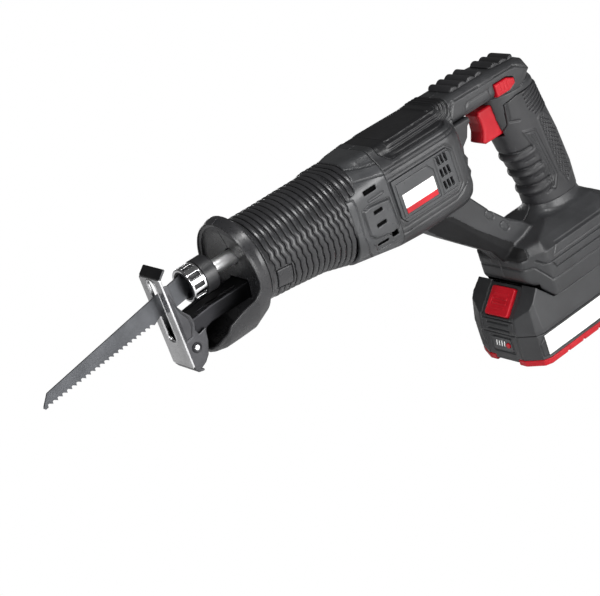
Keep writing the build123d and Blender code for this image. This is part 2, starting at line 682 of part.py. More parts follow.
def make_gear_case_screws():
    """Four screws that hold the rear plate to the gear case."""
    screws = [rod_x(3.4, CASE_PLATE_REAR, 186.5, z, y) + rod_x(1.8, 173, CASE_PLATE_REAR, z, y)
              for y, z in CASE_SCREW_SPOTS]
    return Compound(children=[s for t in screws for s in t.solids()])


def cut_case_screws(solid):
    """Cuts the holes of the gear-case screws."""
    for y, z in CASE_SCREW_SPOTS:
        solid -= rod_x(1.8, 173, 185, z, y)
    return solid


# ---------------------------------------------------------------- housing pieces
SCREW_BOSS = 5.2
SCREW_HEAD = 3.6
SCREW_SHANK = 1.6
HOUSING_SCREWS = [
    # x, z, height of the head's seat above the split
    (215, -49, 16), (258, -49, 16), (238, 16, 12), (305, 9, 13), (352, 9, 10), (356, -88, 10),
    (262, -86, 8), (310, -131, 18), (388, -131, 22),
]
PANEL_OUTLINE = [(193, -3), (249, -3), (253.5, -7.5), (253.5, -33), (249, -37), (197, -37), (193, -33)]
PANEL_FLOOR = 31.4
PANEL_FACE = 33.4
LABEL_OUTLINE = [(199, -16.5), (231.5, -16.5), (231.5, -32), (199, -32)]
LABEL_DEPTH = 0.5
SLEEVE_OUTLINE = [(300, -104), (400, -104), (400, -4), (353, -4), (346, -33), (300, -36)]
SLEEVE_THICK = 1.4
TOP_COVER_OUTLINE = [(200, 14.4), (258, 14.4), (268, 22), (268, 40), (200, 40)]
TOP_COVER_THICK = 1.6
TRIGGER_HALF = 8.4
TRIGGER_PULL = 6.0
LOCK_OUTLINE = [(320, 2.5), (334, 2.5), (341, 6), (341, 10.5), (334, 13.6), (320, 13.6)]


def vent_slots():
    """Nine slanting cooling slots, cut through both sides."""
    cutters = None
    for row in range(3):
        for column in range(3):
            x = VENT_FRONT + VENT_STEP_X * column
            top = VENT_TOP - VENT_STEP_Z * row
            low = top - VENT_HEIGHT
            outline = [(x, top), (x + VENT_WIDTH, top), (x + VENT_WIDTH + VENT_LEAN, low), (x + VENT_LEAN, low)]
            slot = side_prism(outline, 20, 40)
            both = slot + mirror_y(slot)
            cutters = both if cutters is None else cutters + both
    return cutters


def cover_slots():
    """The horizontal slots in the sides of the gear cover."""
    cutters = None
    for front, rear, z in ((168, 180, 0.6), (170, 180, -16.3), (169.5, 180, -26.4), (166, 176.5, -37.7)):
        face = Plane.XZ * Pos((front + rear) / 2, z) * SlotOverall(rear - front, 2.2)
        slot = extrude(face, amount=40, both=True)
        cutters = slot if cutters is None else cutters + slot
    return cutters


def grip_sleeve_solid():
    """The skin of the handle that is moulded in rubber."""
    skin = grip_solid(0) - grip_solid(SLEEVE_THICK)
    return (skin & side_prism(SLEEVE_OUTLINE, -REACH, REACH)) - trigger_guide()


def top_cover_solid():
    """The skin of the top ridge that is moulded in rubber."""
    skin = spine_solid(0) - spine_solid(TOP_COVER_THICK)
    return skin & side_prism(TOP_COVER_OUTLINE, -REACH, REACH)


def trigger_guide():
    """The opening the trigger slides in and the chamber of its flange."""
    opening = block(300, 330, -TRIGGER_HALF - SLIDING_GAP, TRIGGER_HALF + SLIDING_GAP, -31, -3.6)
    return opening + block(325.5, 337.9, -10.6, 10.6, -35, 0)


def rails_pocket():
    """The undercut channel the battery slides into."""
    pocket = block(280, 390, -RAIL_HALF, RAIL_HALF, RAIL_STEP, RAIL_TOP)
    pocket += block(280, 390, -RAIL_NECK_HALF, RAIL_NECK_HALF, FOOT_BOTTOM - 1, RAIL_STEP)
    return pocket + block(376, 384, -8, 8, -148, -142)


def inner_ribs():
    """Ribs and bosses that stay standing inside the cavity."""
    ribs = block(209, 212, -REACH, REACH, -90, 40) + block(248, 251, -REACH, REACH, -90, 40)
    ribs -= rod_x(CAN_RADIUS, 200, 260, MOTOR_Z)
    flange = block(174, 182, -REACH, REACH, -90, 40)
    flange -= extrude(section_x(CASE_FLANGE_X, *CASE_FLANGE), amount=14, dir=(1, 0, 0))
    ribs += flange + block(336, 352, -30, 30, -33, -30)
    for x, y in ((333, -20), (359, -20), (333, 20), (359, 20)):
        ribs += rod_z(3, -144, -141, x, y)
    for x, z, _ in HOUSING_SCREWS:
        ribs += rod_y(SCREW_BOSS, -REACH, REACH, x, z)
    return ribs


def housing_shell():
    """The whole housing as one hollow shell before it is divided."""
    shell = outer_solid() - (cavity_solid() - inner_ribs())
    shell -= rails_pocket()
    pocket = side_prism(PANEL_OUTLINE, PANEL_FLOOR, 50)
    shell -= pocket + mirror_y(pocket)
    shell -= vent_slots()
    shell -= cover_slots()
    shell -= grip_sleeve_solid()
    shell -= top_cover_solid()
    shell -= trigger_guide()
    lock_hole = offset(side_face(LOCK_OUTLINE, 0), SLIDING_GAP, kind=Kind.INTERSECTION)
    shell -= extrude(lock_hole, amount=30, both=True)
    for x, z, seat in HOUSING_SCREWS:
        shell -= rod_y(SCREW_SHANK, -8, seat + 1, x, z) + rod_y(SCREW_HEAD + 0.3, seat, 60, x, z)
    return shell


def make_case_screws():
    """The long screws that hold the two housing halves together."""
    screws = [rod_y(SCREW_SHANK, -8, seat, x, z) + rod_y(SCREW_HEAD, seat, seat + 2.4, x, z)
              - rod_y(1.5, seat + 1.0, seat + 4, x, z) for x, z, seat in HOUSING_SCREWS]
    return Compound(children=[s for t in screws for s in t.solids()])


def make_side_panel(side):
    """The raised plate on the side of the motor housing, seen on the given side."""
    panel = side_prism(PANEL_OUTLINE, PANEL_FLOOR, PANEL_FACE)
    panel = chamfer(panel.faces().sort_by(Axis.Y)[-1].edges(), 0.6)
    panel -= side_prism(LABEL_OUTLINE, PANEL_FACE - LABEL_DEPTH, PANEL_FACE + 1)
    panel = panel if side > 0 else mirror_y(panel)
    return panel - vent_slots()


def make_side_labels():
    """The blank plates let into the two side panels."""
    label = side_prism(LABEL_OUTLINE, PANEL_FACE - LABEL_DEPTH, PANEL_FACE)
    return Compound(children=label.solids() + mirror_y(label).solids())


def make_top_cover():
    """The dark rubber skin on the top ridge with ribs round its rear end."""
    cover = top_cover_solid()
    core = spine_solid(0.8)
    for index in range(4):
        x = 249 + 4.2 * index
        cover -= side_prism([(x, 10), (x + 3, 30), (x + 4.6, 30), (x + 1.6, 10)], -REACH, REACH) - core
    return cover


def make_grip_sleeve():
    """Rubber sleeve of the handle with three finger grooves in front and ribs behind."""
    sleeve = grip_sleeve_solid()
    core = grip_solid(0.7)
    grooves = None
    for index in range(4):
        z = -44.0 - 15.0 * index
        front = 325.0 + 3.2 * index
        groove = side_prism([(front - 9, z), (front + 9, z + 2.5), (front + 9, z + 4.2), (front - 9, z + 1.7)], -40, 40)
        grooves = groove if grooves is None else grooves + groove
    for index in range(6):
        z = -12.0 - 5.0 * index
        grooves += side_prism([(362, z), (392, z + 9), (392, z + 10.6), (362, z + 1.6)], -40, 40)
    return sleeve - (grooves - core)


def wavy_pad(front, rear, base, top, waves):
    """A strip seen from the side with a row of rounded ridges on top."""
    pitch = (rear - front) / waves
    points = [(front, base), (front, top - 1.4)]
    for index in range(waves):
        x = front + pitch * index
        points += [(x + 0.25 * pitch, top), (x + 0.7 * pitch, top), (x + pitch, top - 1.4)]
    return points + [(rear, base)]


def make_top_pads():
    """Two ridged rubber pads on top of the bridge over the trigger."""
    front = side_prism(wavy_pad(283, 319, 18, 27.0, 4), -13, 13)
    rear = side_prism(wavy_pad(326, 352, 17, 26.0, 3), -12, 12)
    trim = upper_arm_solid(0) + spine_solid(0) + grip_solid(0)
    pads = [piece - trim for piece in (front, rear)]
    return Compound(children=[max(p.solids(), key=lambda s: s.volume) for p in pads])


GUARD_OUTLINE = [
    (262, 1.9), (285, 1.9), (284, -1.5), (279.5, -8.5), (280, -13), (275, -17.5), (274, -22), (276, -26.5),
    (274, -31.5), (275.6, -37), (273, -42), (270, -47), (262, -47),
]


def make_guard_pad():
    """The wavy rubber strip on the tail of the body inside the hand opening."""
    pad = side_prism(GUARD_OUTLINE, -20, 20)
    pad -= body_solid(0) + upper_arm_solid(0) + strut_solid(0) + spine_solid(0)
    return max(pad.solids(), key=lambda s: s.volume)


# ---------------------------------------------------------------- controls
TRIGGER_OUTLINE = [
    (326, -4.0), (306, -4.0), (304.4, -7), (305.6, -14), (305.2, -21), (302.2, -28.6), (305, -30.7),
    (326, -30.7),
]


def make_trigger():
    """The finger trigger with its retaining flange and push rod."""
    trigger = side_prism(TRIGGER_OUTLINE, -TRIGGER_HALF, TRIGGER_HALF)
    front_edges = [e for e in trigger.edges()
                   if e.center().X < 309 and abs(abs(e.center().Y) - TRIGGER_HALF) < 0.01 and e.length > 2.5]
    trigger = fillet(front_edges, 1.2)
    trigger += block(326, 329.5, -10.2, 10.2, -34.5, -0.5)
    return trigger + rod_x(2.5, 329, 339.5, -16)


def make_switch_module():
    """The speed switch behind the trigger."""
    return block(338, 359, -9, 9, -30, -2) - rod_x(2.9, 337, 347, -16)


def make_lock_button():
    """The bar across the housing that locks the trigger."""
    return side_prism(LOCK_OUTLINE, -21.4, 21.4)


def make_control_board():
    """The small circuit board in the foot."""
    board = block(330, 362, -24, 24, -141, -139.4)
    board += block(336, 346, -14, -2, -139.4, -134) + block(350, 358, -6, 8, -139.4, -136)
    return board + rod_z(4, -139.4, -130, 340, 10)


def lead(points, y, radius):
    """A round wire through the given points of the x-z plane."""
    path = Spline(*[(x, y, z) for x, z in points])
    return sweep(Plane(origin=path @ 0, z_dir=path % 0) * Circle(radius), path)


def make_battery_leads():
    """Two wires from the terminal block up the handle to the switch."""
    points = [(380, -141.2), (377, -128), (371.5, -108), (369, -84), (363, -55), (355.5, -30.7)]
    wires = [lead(points, y, 1.2) for y in (-3.5, 3.5)]
    return Compound(children=[s for w in wires for s in w.solids()])


def make_motor_leads():
    """Two wires from the switch over the trigger to the motor."""
    points = [(344.3, -1.2), (344, 8), (339, 15), (328, 17.2), (300, 17.4), (278, 17), (269.4, 14.5), (265.7, 9),
              (265.7, 2)]
    wires = [lead(points, y, 0.9) for y in (-4, 4)]
    return Compound(children=[s for w in wires for s in w.solids()])


def make_terminal_block():
    """The block in the foot that carries the contact blades."""
    holder = block(372, 388, -20, 20, -158, RAIL_TOP) + block(376, 384, -8, 8, -148, -142)
    for y in TERMINALS:
        holder -= block(371, 376, y - TERMINAL_HALF, y + TERMINAL_HALF, TERMINAL_BOTTOM, TERMINAL_TOP)
    return holder


def make_terminal_blades():
    """The flat contact blades."""
    blades = [block(354, 376, y - TERMINAL_HALF, y + TERMINAL_HALF, TERMINAL_BOTTOM, TERMINAL_TOP)
              for y in TERMINALS]
    return Compound(children=[s for b in blades for s in b.solids()])


# ---------------------------------------------------------------- battery
def pack_plan(inset, z):
    """The battery seen from above, with its narrower front."""
    front = PACK_FRONT + inset
    rear = PACK_REAR - inset
    half = PACK_HALF - inset
    nose = 22.0 - 0.4 * inset
    shoulder = PACK_FRONT + 6 + 0.7 * inset
    corner = 8.0 - 0.5 * inset
    points = [(front, -nose), (shoulder, -half), (rear - corner, -half), (rear, -half + corner),
              (rear, half - corner), (rear - corner, half), (shoulder, half), (front, nose)]
    return Pos(0, 0, z) * Polygon(*points, align=None)


def pack_block(inset, z0, z1):
    """A slab with the outline of the battery."""
    return extrude(pack_plan(inset, z0), amount=z1 - z0, dir=(0, 0, 1))


RISER_OUTLINE = [(291.0, -145.4), (268.2, -168.2), (268.2, -175), (312, -175), (312, -161), (303.8, -161)]
LATCH_CENTRE = (279.6, -156.8)
LATCH_LENGTH = 22.0
LATCH_HALF = 12.0


def latch_frame():
    """The frame of the latch: x up the slope, z out of the battery."""
    return Plane(origin=(LATCH_CENTRE[0], 0, LATCH_CENTRE[1]), x_dir=(1, 0, 1), z_dir=(-1, 0, 1))


def latch_block(length, half, low, high):
    """A block set square to the slope of the battery's front."""
    slab = Pos(0, 0, (low + high) / 2) * Box(length, 2 * half, high - low)
    return latch_frame().location * slab


def cell_spots():
    """Middle of each cell, two rows of five."""
    return [(CELL_MIDDLE + CELL_PITCH * (column - 2), z) for z in CELL_ROWS for column in range(5)]


def make_battery_top_case():
    """The upper half of the battery with the slide rails, the contact slots and the latch pocket."""
    riser = side_prism(RISER_OUTLINE, -31, 31)
    rail_half = RAIL_HALF - RAIL_PLAY
    neck_half = RAIL_NECK_HALF - RAIL_PLAY
    rails = block(303, 370.5, -rail_half, rail_half, RAIL_STEP + RAIL_PLAY, RAIL_TOP - 0.6)
    rails += block(303, 370.5, -neck_half, neck_half, PACK_TOP - 0.5, RAIL_STEP + 0.5)
    case = pack_block(0, PACK_SPLIT, PACK_TOP) + riser + rails
    case -= pack_block(PACK_WALL, PACK_SPLIT - 1, PACK_TOP - PACK_WALL)
    case -= block(314, 350, -22.5, 22.5, -164, -150)
    case += latch_block(LATCH_LENGTH + 4.6, LATCH_HALF + 2.3, -12.2, -1)
    case -= latch_block(LATCH_LENGTH + 0.6, LATCH_HALF + SLIDING_GAP, -10.5, 6)
    for y in TERMINALS:
        case -= block(352, 372, y - CLIP_HALF, y + CLIP_HALF, TERMINAL_BOTTOM - 1, TERMINAL_TOP + 1)
    for x, y in ((318, -16), (346, -16), (318, 16), (346, 16)):
        case += rod_z(2, -158.4, -149.5, x, y)
    return case


def make_battery_lower_case():
    """The lower half of the battery with the gauge opening."""
    case = pack_block(0, PACK_SKIRT, PACK_SPLIT) + pack_block(2.4, PACK_SKIRT - PACK_WALL, PACK_SKIRT)
    case -= pack_block(PACK_WALL, PACK_SKIRT, PACK_SPLIT + 1)
    case -= block(260, 275, -GAUGE_HALF, GAUGE_HALF, GAUGE_Z - 6, GAUGE_Z + 6)
    for x, y in PACK_SCREWS:
        case -= rod_z(PACK_SCREW_SHANK, -210, -203.4, x, y)
    return case


def make_battery_base():
    """The coloured skid under the battery."""
    base = pack_block(0, PACK_BOTTOM, PACK_SKIRT) - pack_block(2.4, PACK_SKIRT - PACK_WALL, PACK_SKIRT + 1)
    base -= block(260, 271.5, -13.5, 13.5, PACK_BOTTOM - 1, PACK_SKIRT + 1)
    for x, y in PACK_SCREWS:
        base -= rod_z(PACK_SCREW_HEAD + 0.1, -210, -206.9, x, y) + rod_z(PACK_SCREW_SHANK, -208, -202, x, y)
    return base


def make_battery_screws():
    """Four screws under the battery."""
    screws = [rod_z(PACK_SCREW_HEAD, -208.8, -206.9, x, y) + rod_z(PACK_SCREW_SHANK, -206.9, -203.4, x, y)
              for x, y in PACK_SCREWS]
    return Compound(children=[s for t in screws for s in t.solids()])


def make_battery_cells():
    """Ten round cells lying across the battery."""
    cells = []
    for x, z in cell_spots():
        cell = rod_y(CELL_RADIUS, -CELL_LENGTH / 2, CELL_LENGTH / 2, x, z)
        cells += cell.solids()
    return Compound(children=cells)


def make_cell_holder():
    """Two end plates joined by bars that hold the cells."""
    plate = block(281.5, 385.4, 26, 33.5, -202.6, -164.3)
    for x, z in cell_spots():
        plate -= rod_y(CELL_RADIUS, 20, CELL_LENGTH / 2, x, z)
    holder = plate + mirror_y(plate)
    for x in (CELL_MIDDLE - 1.5 * CELL_PITCH, CELL_MIDDLE + 1.5 * CELL_PITCH):
        holder += rod_y(4, -27, 27, x, -183)
    return holder


def make_battery_board():
    """The battery's circuit board under the slide rails."""
    return block(315, 349.5, -20, 20, -160, -158.4) + block(322, 340, -10, 8, -158.4, -155)


def make_battery_clips():
    """Spring contacts that grip the blades."""
    clips = []
    for y in TERMINALS:
        clip = block(352, 363, y - CLIP_HALF, y + CLIP_HALF, TERMINAL_BOTTOM, TERMINAL_TOP)
        clip -= block(353, 364, y - 0.45, y + 0.45, TERMINAL_BOTTOM - 1, TERMINAL_TOP + 1)
        clips += clip.solids()
    return Compound(children=clips)


def make_gauge_window():
    """The charge gauge in the battery's front."""
    window = block(267.6, 270.2, -GAUGE_HALF, GAUGE_HALF, GAUGE_Z - 6, GAUGE_Z + 6)
    for index in range(4):
        window -= block(267, 268.0, -3 + 3.2 * index, -1 + 3.2 * index, GAUGE_Z - 2, GAUGE_Z + 2)
    return window - rod_x(2.5, 260, 275, GAUGE_Z, GAUGE_BUTTON_Y)


def make_gauge_button():
    """The button that lights the gauge."""
    return rod_x(2.2, 266.8, 272, GAUGE_Z, GAUGE_BUTTON_Y)


def make_latch_button():
    """The sloping button that frees the battery."""
    button = latch_block(LATCH_LENGTH, LATCH_HALF, -6.5, 1.6)
    for index in range(4):
        button -= latch_frame().location * Pos(-7 + 4.6 * index, 0, 1.6) * Box(1.4, 18, 1.2)
    return button


def make_battery_labels():
    """Two blank plates on the sides of the battery."""
    label = block(280, 384, PACK_HALF, PACK_HALF + 0.3, -200, -183)
    return Compound(children=label.solids() + mirror_y(label).solids())


# ---------------------------------------------------------------- every node
def make_housing_pieces():
    """The gear cover and the two housing halves, cut from one shell."""
    shell = housing_shell()
    cover = shell & block(BOOT_REAR - 5, COVER_REAR, -REACH, REACH, -90, REACH)
    left = shell & block(COVER_REAR, 420, -REACH, 0, -240, REACH)
    right = shell & block(COVER_REAR, 420, 0, REACH, -240, REACH)
    save("gear_cover", cover)
    save("left_housing", left)
    save("right_housing", right)


NODES = {
    "nose_boot": make_nose_boot, "left_side_panel": lambda: make_side_panel(-1),
    "right_side_panel": lambda: make_side_panel(1), "side_labels": make_side_labels,
    "top_cover": make_top_cover, "top_pads": make_top_pads,
    "grip_sleeve": make_grip_sleeve, "guard_pad": make_guard_pad, "case_screws": make_case_screws,
    "gear_case": make_gear_case, "gear_case_plate": make_gear_case_plate, "gear_case_screws": make_gear_case_screws,
    "front_bush": make_front_bush, "rear_bush": make_rear_bush, "rod_seal": make_rod_seal,
    "drive_bearings": make_drive_bearings, "motor_can": make_motor_can, "motor_magnets": make_motor_magnets,
    "motor_end_cap": make_motor_end_cap, "motor_brushes": make_motor_brushes, "motor_shaft": make_motor_shaft,
    "rotor_core": make_rotor_core, "rotor_windings": make_rotor_windings, "commutator": make_commutator,
    "cooling_fan": make_cooling_fan, "wobble_shaft": make_wobble_shaft, "driven_gear": make_driven_gear,
    "wobble_race": make_wobble_race, "wobble_arm": make_wobble_arm, "plunger": make_plunger,
    "clamp_body": make_clamp_body, "clamp_ring": make_clamp_ring, "clamp_collar": make_clamp_collar,
    "saw_blade": make_saw_blade, "shoe": make_shoe, "shoe_arm": make_shoe_arm,
    "shoe_pivot_pin": make_shoe_pivot_pin, "trigger": make_trigger, "lock_button": make_lock_button,
    "switch_module": make_switch_module, "control_board": make_control_board,
    "battery_leads": make_battery_leads, "motor_leads": make_motor_leads, "terminal_block": make_terminal_block,
    "terminal_blades": make_terminal_blades, "battery_top_case": make_battery_top_case,
    "battery_lower_case": make_battery_lower_case, "battery_base": make_battery_base,
    "battery_screws": make_battery_screws, "battery_cells": make_battery_cells, "cell_holder": make_cell_holder,
    "battery_board": make_battery_board, "battery_clips": make_battery_clips, "gauge_window": make_gauge_window,
    "gauge_button": make_gauge_button, "latch_button": make_latch_button, "battery_labels": make_battery_labels,
}

make_housing_pieces()
for node, maker in NODES.items():
    save(node, maker())
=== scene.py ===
"""The looks of a cordless reciprocating saw, built round its CAD frame.

Most pieces are carved as signed distances on a grid and then skinned. Lengths are millimetres until a mesh
is made. The left flank is -Y and the nose points to -X.
"""
import math

import bpy
import numpy as np
from mathutils import Matrix, Vector


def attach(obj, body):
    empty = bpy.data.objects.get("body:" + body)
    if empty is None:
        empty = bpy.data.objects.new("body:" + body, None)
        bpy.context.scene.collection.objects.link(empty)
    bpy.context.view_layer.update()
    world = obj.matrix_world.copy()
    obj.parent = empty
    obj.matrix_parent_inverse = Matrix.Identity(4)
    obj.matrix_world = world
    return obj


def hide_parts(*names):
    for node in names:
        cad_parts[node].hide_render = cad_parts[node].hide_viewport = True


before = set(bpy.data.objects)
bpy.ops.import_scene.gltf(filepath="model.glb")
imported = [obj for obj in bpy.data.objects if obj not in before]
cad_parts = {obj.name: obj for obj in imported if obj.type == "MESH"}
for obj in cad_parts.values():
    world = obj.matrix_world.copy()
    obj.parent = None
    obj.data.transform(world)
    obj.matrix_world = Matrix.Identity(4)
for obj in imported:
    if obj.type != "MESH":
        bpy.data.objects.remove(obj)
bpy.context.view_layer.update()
MM = 0.001
FAR_OFF = 9.0                           # a distance clear of every surface
RELAXING = (0.5, -0.52, 0.5, -0.52)     # shares of each step that smooths a skin


# ---- distance fields
class Field:
    """A box of space sampled on a grid; arrays of signed distance to a surface live on it."""

    def __init__(self, low, high, step, mirrored=False):
        self.step = step * 1.0
        self.mirrored = mirrored
        axes = [np.arange(a, b + self.step, self.step, dtype=np.float32) for a, b in zip(low, high)]
        if mirrored:
            count = int(math.ceil((high[1] - low[1]) / self.step))
            axes[1] = (np.arange(-count, 1, dtype=np.float32)) * self.step
        self.origin = np.array([axis[0] for axis in axes])
        self.x = axes[0][:, None, None]
        self.y = axes[1][None, :, None]
        self.z = axes[2][None, None, :]

    def along_x(self, stations, values):
        """A value given at stations along X, smoothly in between."""
        return np.interp(self.x, stations, values).astype(np.float32)

    def along_z(self, stations, values):
        """A value given at stations along Z."""
        return np.interp(self.z, stations, values).astype(np.float32)


def polygon(u, v, points):
    """Signed distance in a plane to a closed outline."""
    nearest = np.inf
    inside = False
    for (ax, ay), (bx, by) in zip(points, points[1:] + points[:1]):
        ex, ey = bx - ax, by - ay
        wx, wy = u - ax, v - ay
        t = np.clip((wx * ex + wy * ey) / (ex * ex + ey * ey), 0, 1)
        nearest = np.minimum(nearest, (wx - ex * t) ** 2 + (wy - ey * t) ** 2)
        rising = np.sign(ey)
        inside = inside ^ (((ay <= v) != (by <= v)) & (wx * ey * rising < wy * ex * rising))
    return np.where(inside, -1, 1).astype(np.float32) * np.sqrt(nearest).astype(np.float32)


def side(f, points):
    """Distance to an outline seen from the side."""
    return polygon(f.x, f.z, points)


def plan(f, points):
    """Distance to an outline seen from above."""
    return polygon(f.x, f.y, points)


def line(u, v, points):
    """Distance in a plane to an open line."""
    nearest = np.inf
    for (ax, ay), (bx, by) in zip(points, points[1:]):
        ex, ey = bx - ax, by - ay
        t = np.clip(((u - ax) * ex + (v - ay) * ey) / (ex * ex + ey * ey), 0, 1)
        nearest = np.minimum(nearest, np.hypot(u - ax - ex * t, v - ay - ey * t))
    return nearest


def rounded(a, b, radius):
    """The meeting of two distances with its outer corner rounded."""
    u = a + radius
    v = b + radius
    return np.minimum(np.maximum(u, v), 0) + np.hypot(np.maximum(u, 0), np.maximum(v, 0)) - radius


def blend(a, b, width):
    """The union of two distances with a fillet between them."""
    h = np.clip(0.5 + 0.5 * (b - a) / width, 0, 1)
    return b * (1 - h) + a * h - width * h * (1 - h)


def section(u, v, half_u, half_v, corner):
    """Distance to a rounded rectangle."""
    return rounded(np.abs(u) - half_u, np.abs(v) - half_v, corner)


def box(f, low, high, corner=0.5):
    """Distance to a rounded block."""
    middle = [(a + b) / 2 for a, b in zip(low, high)]
    half = [(b - a) / 2 for a, b in zip(low, high)]
    flat = rounded(np.abs(f.x - middle[0]) - half[0], np.abs(f.y - middle[1]) - half[1], corner)
    return rounded(flat, np.abs(f.z - middle[2]) - half[2], corner)


def cut(a, b):
    """a with b taken away."""
    return np.maximum(a, -b)


def engrave(d, mark, depth):
    """Sinks the marked area (mark below zero) into the surface."""
    return np.maximum(d, -np.maximum(mark, -(d + depth)))


def emboss(d, mark, height):
    """Raises the marked area above the surface."""
    return np.minimum(d, rounded(d - height, mark, 0.6))


def scribe(f, d, points, half_width, region, depth):
    """Engraves an open line, seen from the side, where the region is below zero."""
    return engrave(d, np.maximum(line(f.x, f.z, points) - half_width, region), depth)


def trace(f, d, points, half_width, region, depth):
    """Engraves a closed outline, seen from the side, where the region is below zero."""
    return engrave(d, np.maximum(np.abs(side(f, points)) - half_width, region), depth)


# ---- meshes
EDGES = [(0, 1), (2, 3), (4, 5), (6, 7), (0, 2), (1, 3), (4, 6), (5, 7), (0, 4), (1, 5), (2, 6), (3, 7)]


def surface(f, d):
    """Vertices and quads of the zero surface of a distance array, by surface nets."""
    d = np.broadcast_to(d, (f.x.size, f.y.size, f.z.size))
    if f.mirrored:
        d = np.concatenate([d, d[:, -2::-1, :]], axis=1)
    d = np.pad(d, 1, constant_values=FAR_OFF).astype(np.float32)
    solid = d < 0
    corners = [solid[i:d.shape[0] - 1 + i, j:d.shape[1] - 1 + j, k:d.shape[2] - 1 + k]
               for i in (0, 1) for j in (0, 1) for k in (0, 1)]
    count = sum(c.astype(np.int8) for c in corners)
    cells = np.argwhere((count > 0) & (count < 8))
    offsets = np.array([(i, j, k) for i in (0, 1) for j in (0, 1) for k in (0, 1)])
    value = np.stack([d[tuple((cells + o).T)] for o in offsets], axis=1)
    total = np.zeros((len(cells), 3), np.float32)
    hits = np.zeros(len(cells), np.float32)
    for a, b in EDGES:
        crossing = (value[:, a] < 0) != (value[:, b] < 0)
        t = value[:, a] / np.where(crossing, value[:, a] - value[:, b], 1)
        point = offsets[a] + t[:, None] * (offsets[b] - offsets[a])
        total += point * crossing[:, None]
        hits += crossing
    vertices = cells + total / hits[:, None]
    index = np.full(count.shape, -1, np.int32)
    index[tuple(cells.T)] = np.arange(len(cells))
    quads = []
    for axis in range(3):
        u, v = (axis + 1) % 3, (axis + 2) % 3
        lower = [slice(1, -1)] * 3
        lower[axis] = slice(0, -1)
        upper = list(lower)
        upper[axis] = slice(1, None)
        first = solid[tuple(lower)]
        change = first != solid[tuple(upper)]
        spots = np.argwhere(change)
        forward = first[tuple(spots.T)]
        base = spots.copy()
        base[:, u] += 1
        base[:, v] += 1
        ring = []
        for du, dv in ((-1, -1), (0, -1), (0, 0), (-1, 0)):
            cell = base.copy()
            cell[:, u] += du
            cell[:, v] += dv
            ring.append(index[tuple(cell.T)])
        quad = np.stack(ring, axis=1)
        quad[~forward] = quad[~forward][:, ::-1]
        quads.append(quad)
    origin = f.origin - f.step
    quads = np.concatenate(quads)
    return relaxed(vertices * f.step + origin, quads), quads


def relaxed(vertices, quads):
    """The vertices with grid steps smoothed away, by two rounds of Taubin's shrink and swell."""
    here = quads.ravel()
    there = np.roll(quads, -1, axis=1).ravel()
    number = np.maximum(np.bincount(here, minlength=len(vertices)), 1)[:, None]
    for share in RELAXING:
        sums = [np.bincount(here, vertices[there, k], len(vertices)) for k in range(3)]
        vertices = vertices + share * (np.stack(sums, axis=1) / number - vertices)
    return vertices


def make_mesh(name, vertices, faces, material, smooth=True):
    """A mesh object from millimetre vertices and faces of equal size."""
    faces = np.asarray(faces, np.int32)
    mesh = bpy.data.meshes.new(name)
    mesh.vertices.add(len(vertices))
    mesh.vertices.foreach_set("co", (np.asarray(vertices, np.float32) * MM).ravel())
    mesh.loops.add(faces.size)
    mesh.loops.foreach_set("vertex_index", faces.ravel())
    mesh.polygons.add(len(faces))
    mesh.polygons.foreach_set("loop_start", np.arange(0, faces.size, faces.shape[1], dtype=np.int32))
    mesh.polygons.foreach_set("use_smooth", np.full(len(faces), smooth))
    mesh.update(calc_edges=True)
    mesh.validate()
    piece = bpy.data.objects.new(name, mesh)
    bpy.context.collection.objects.link(piece)
    mesh.materials.append(material)
    return piece


def carve(name, f, d, material, body, replaced):
    """Turns a distance array into a piece that rides a body and stands for CAD nodes."""
    vertices, quads = surface(f, d)
    piece = make_mesh(name, vertices, quads, material)
    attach(piece, body)
    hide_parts(*replaced)
    return piece


def carve_sides(f, d, names, nodes, material):
    """Makes a piece of the left flank and its mirror image on the right one; both ride the housing."""
    vertices, quads = surface(f, d)
    pieces = []
    for name, node, sign in zip(names, nodes, (1, -1)):
        piece = make_mesh(name, vertices * (1, sign, 1), quads[:, ::sign], material)
        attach(piece, "housing")
        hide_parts(node)
        pieces.append(piece)
    return pieces


def paint(piece, f, mark, material):
    """Gives another material to the faces that lie where the mark is below zero, on both sides alike."""
    mark = np.broadcast_to(mark, (f.x.size, f.y.size, f.z.size))
    middles = np.empty(len(piece.data.polygons) * 3, np.float32)
    piece.data.polygons.foreach_get("center", middles)
    middles = middles.reshape(-1, 3) / MM
    middles[:, 1] = -np.abs(middles[:, 1])
    cells = np.rint((middles - f.origin) / f.step).astype(int)
    cells = np.clip(cells, 0, np.array(mark.shape) - 1)
    piece.data.materials.append(material)
    slots = np.empty(len(cells), np.int32)
    piece.data.polygons.foreach_get("material_index", slots)
    slots[mark[tuple(cells.T)] < 0] = len(piece.data.materials) - 1
    piece.data.polygons.foreach_set("material_index", slots)


# ---- materials
def new_material(name):
    """An empty node material and a helper that adds nodes to it."""
    material = bpy.data.materials.new(name)
    material.use_nodes = True
    nodes = material.node_tree.nodes
    shader = nodes["Principled BSDF"]

    def add(kind, **values):
        node = nodes.new(kind)
        for key, value in values.items():
            if key in node.inputs:
                node.inputs[key].default_value = value
            else:
                setattr(node, key, value)
        return node

    return material, shader, add, material.node_tree.links.new


def ramp(add, link, source, low, high, to_low, to_high):
    """A value mapped from one range to another."""
    node = add("ShaderNodeMapRange")
    link(source, node.inputs["Value"])
    for key, value in (("From Min", low), ("From Max", high), ("To Min", to_low), ("To Max", to_high)):
        node.inputs[key].default_value = value
    return node.outputs["Result"]


def mixed(add, link, first, second, share):
    """A colour between two others; the first may be another node's output."""
    node = add("ShaderNodeMix", data_type="RGBA")
    if isinstance(first, list):
        node.inputs["A"].default_value = (*first, 1)
    else:
        link(first, node.inputs["A"])
    node.inputs["B"].default_value = (*second, 1)
    link(share, node.inputs["Factor"])
    return node.outputs["Result"]


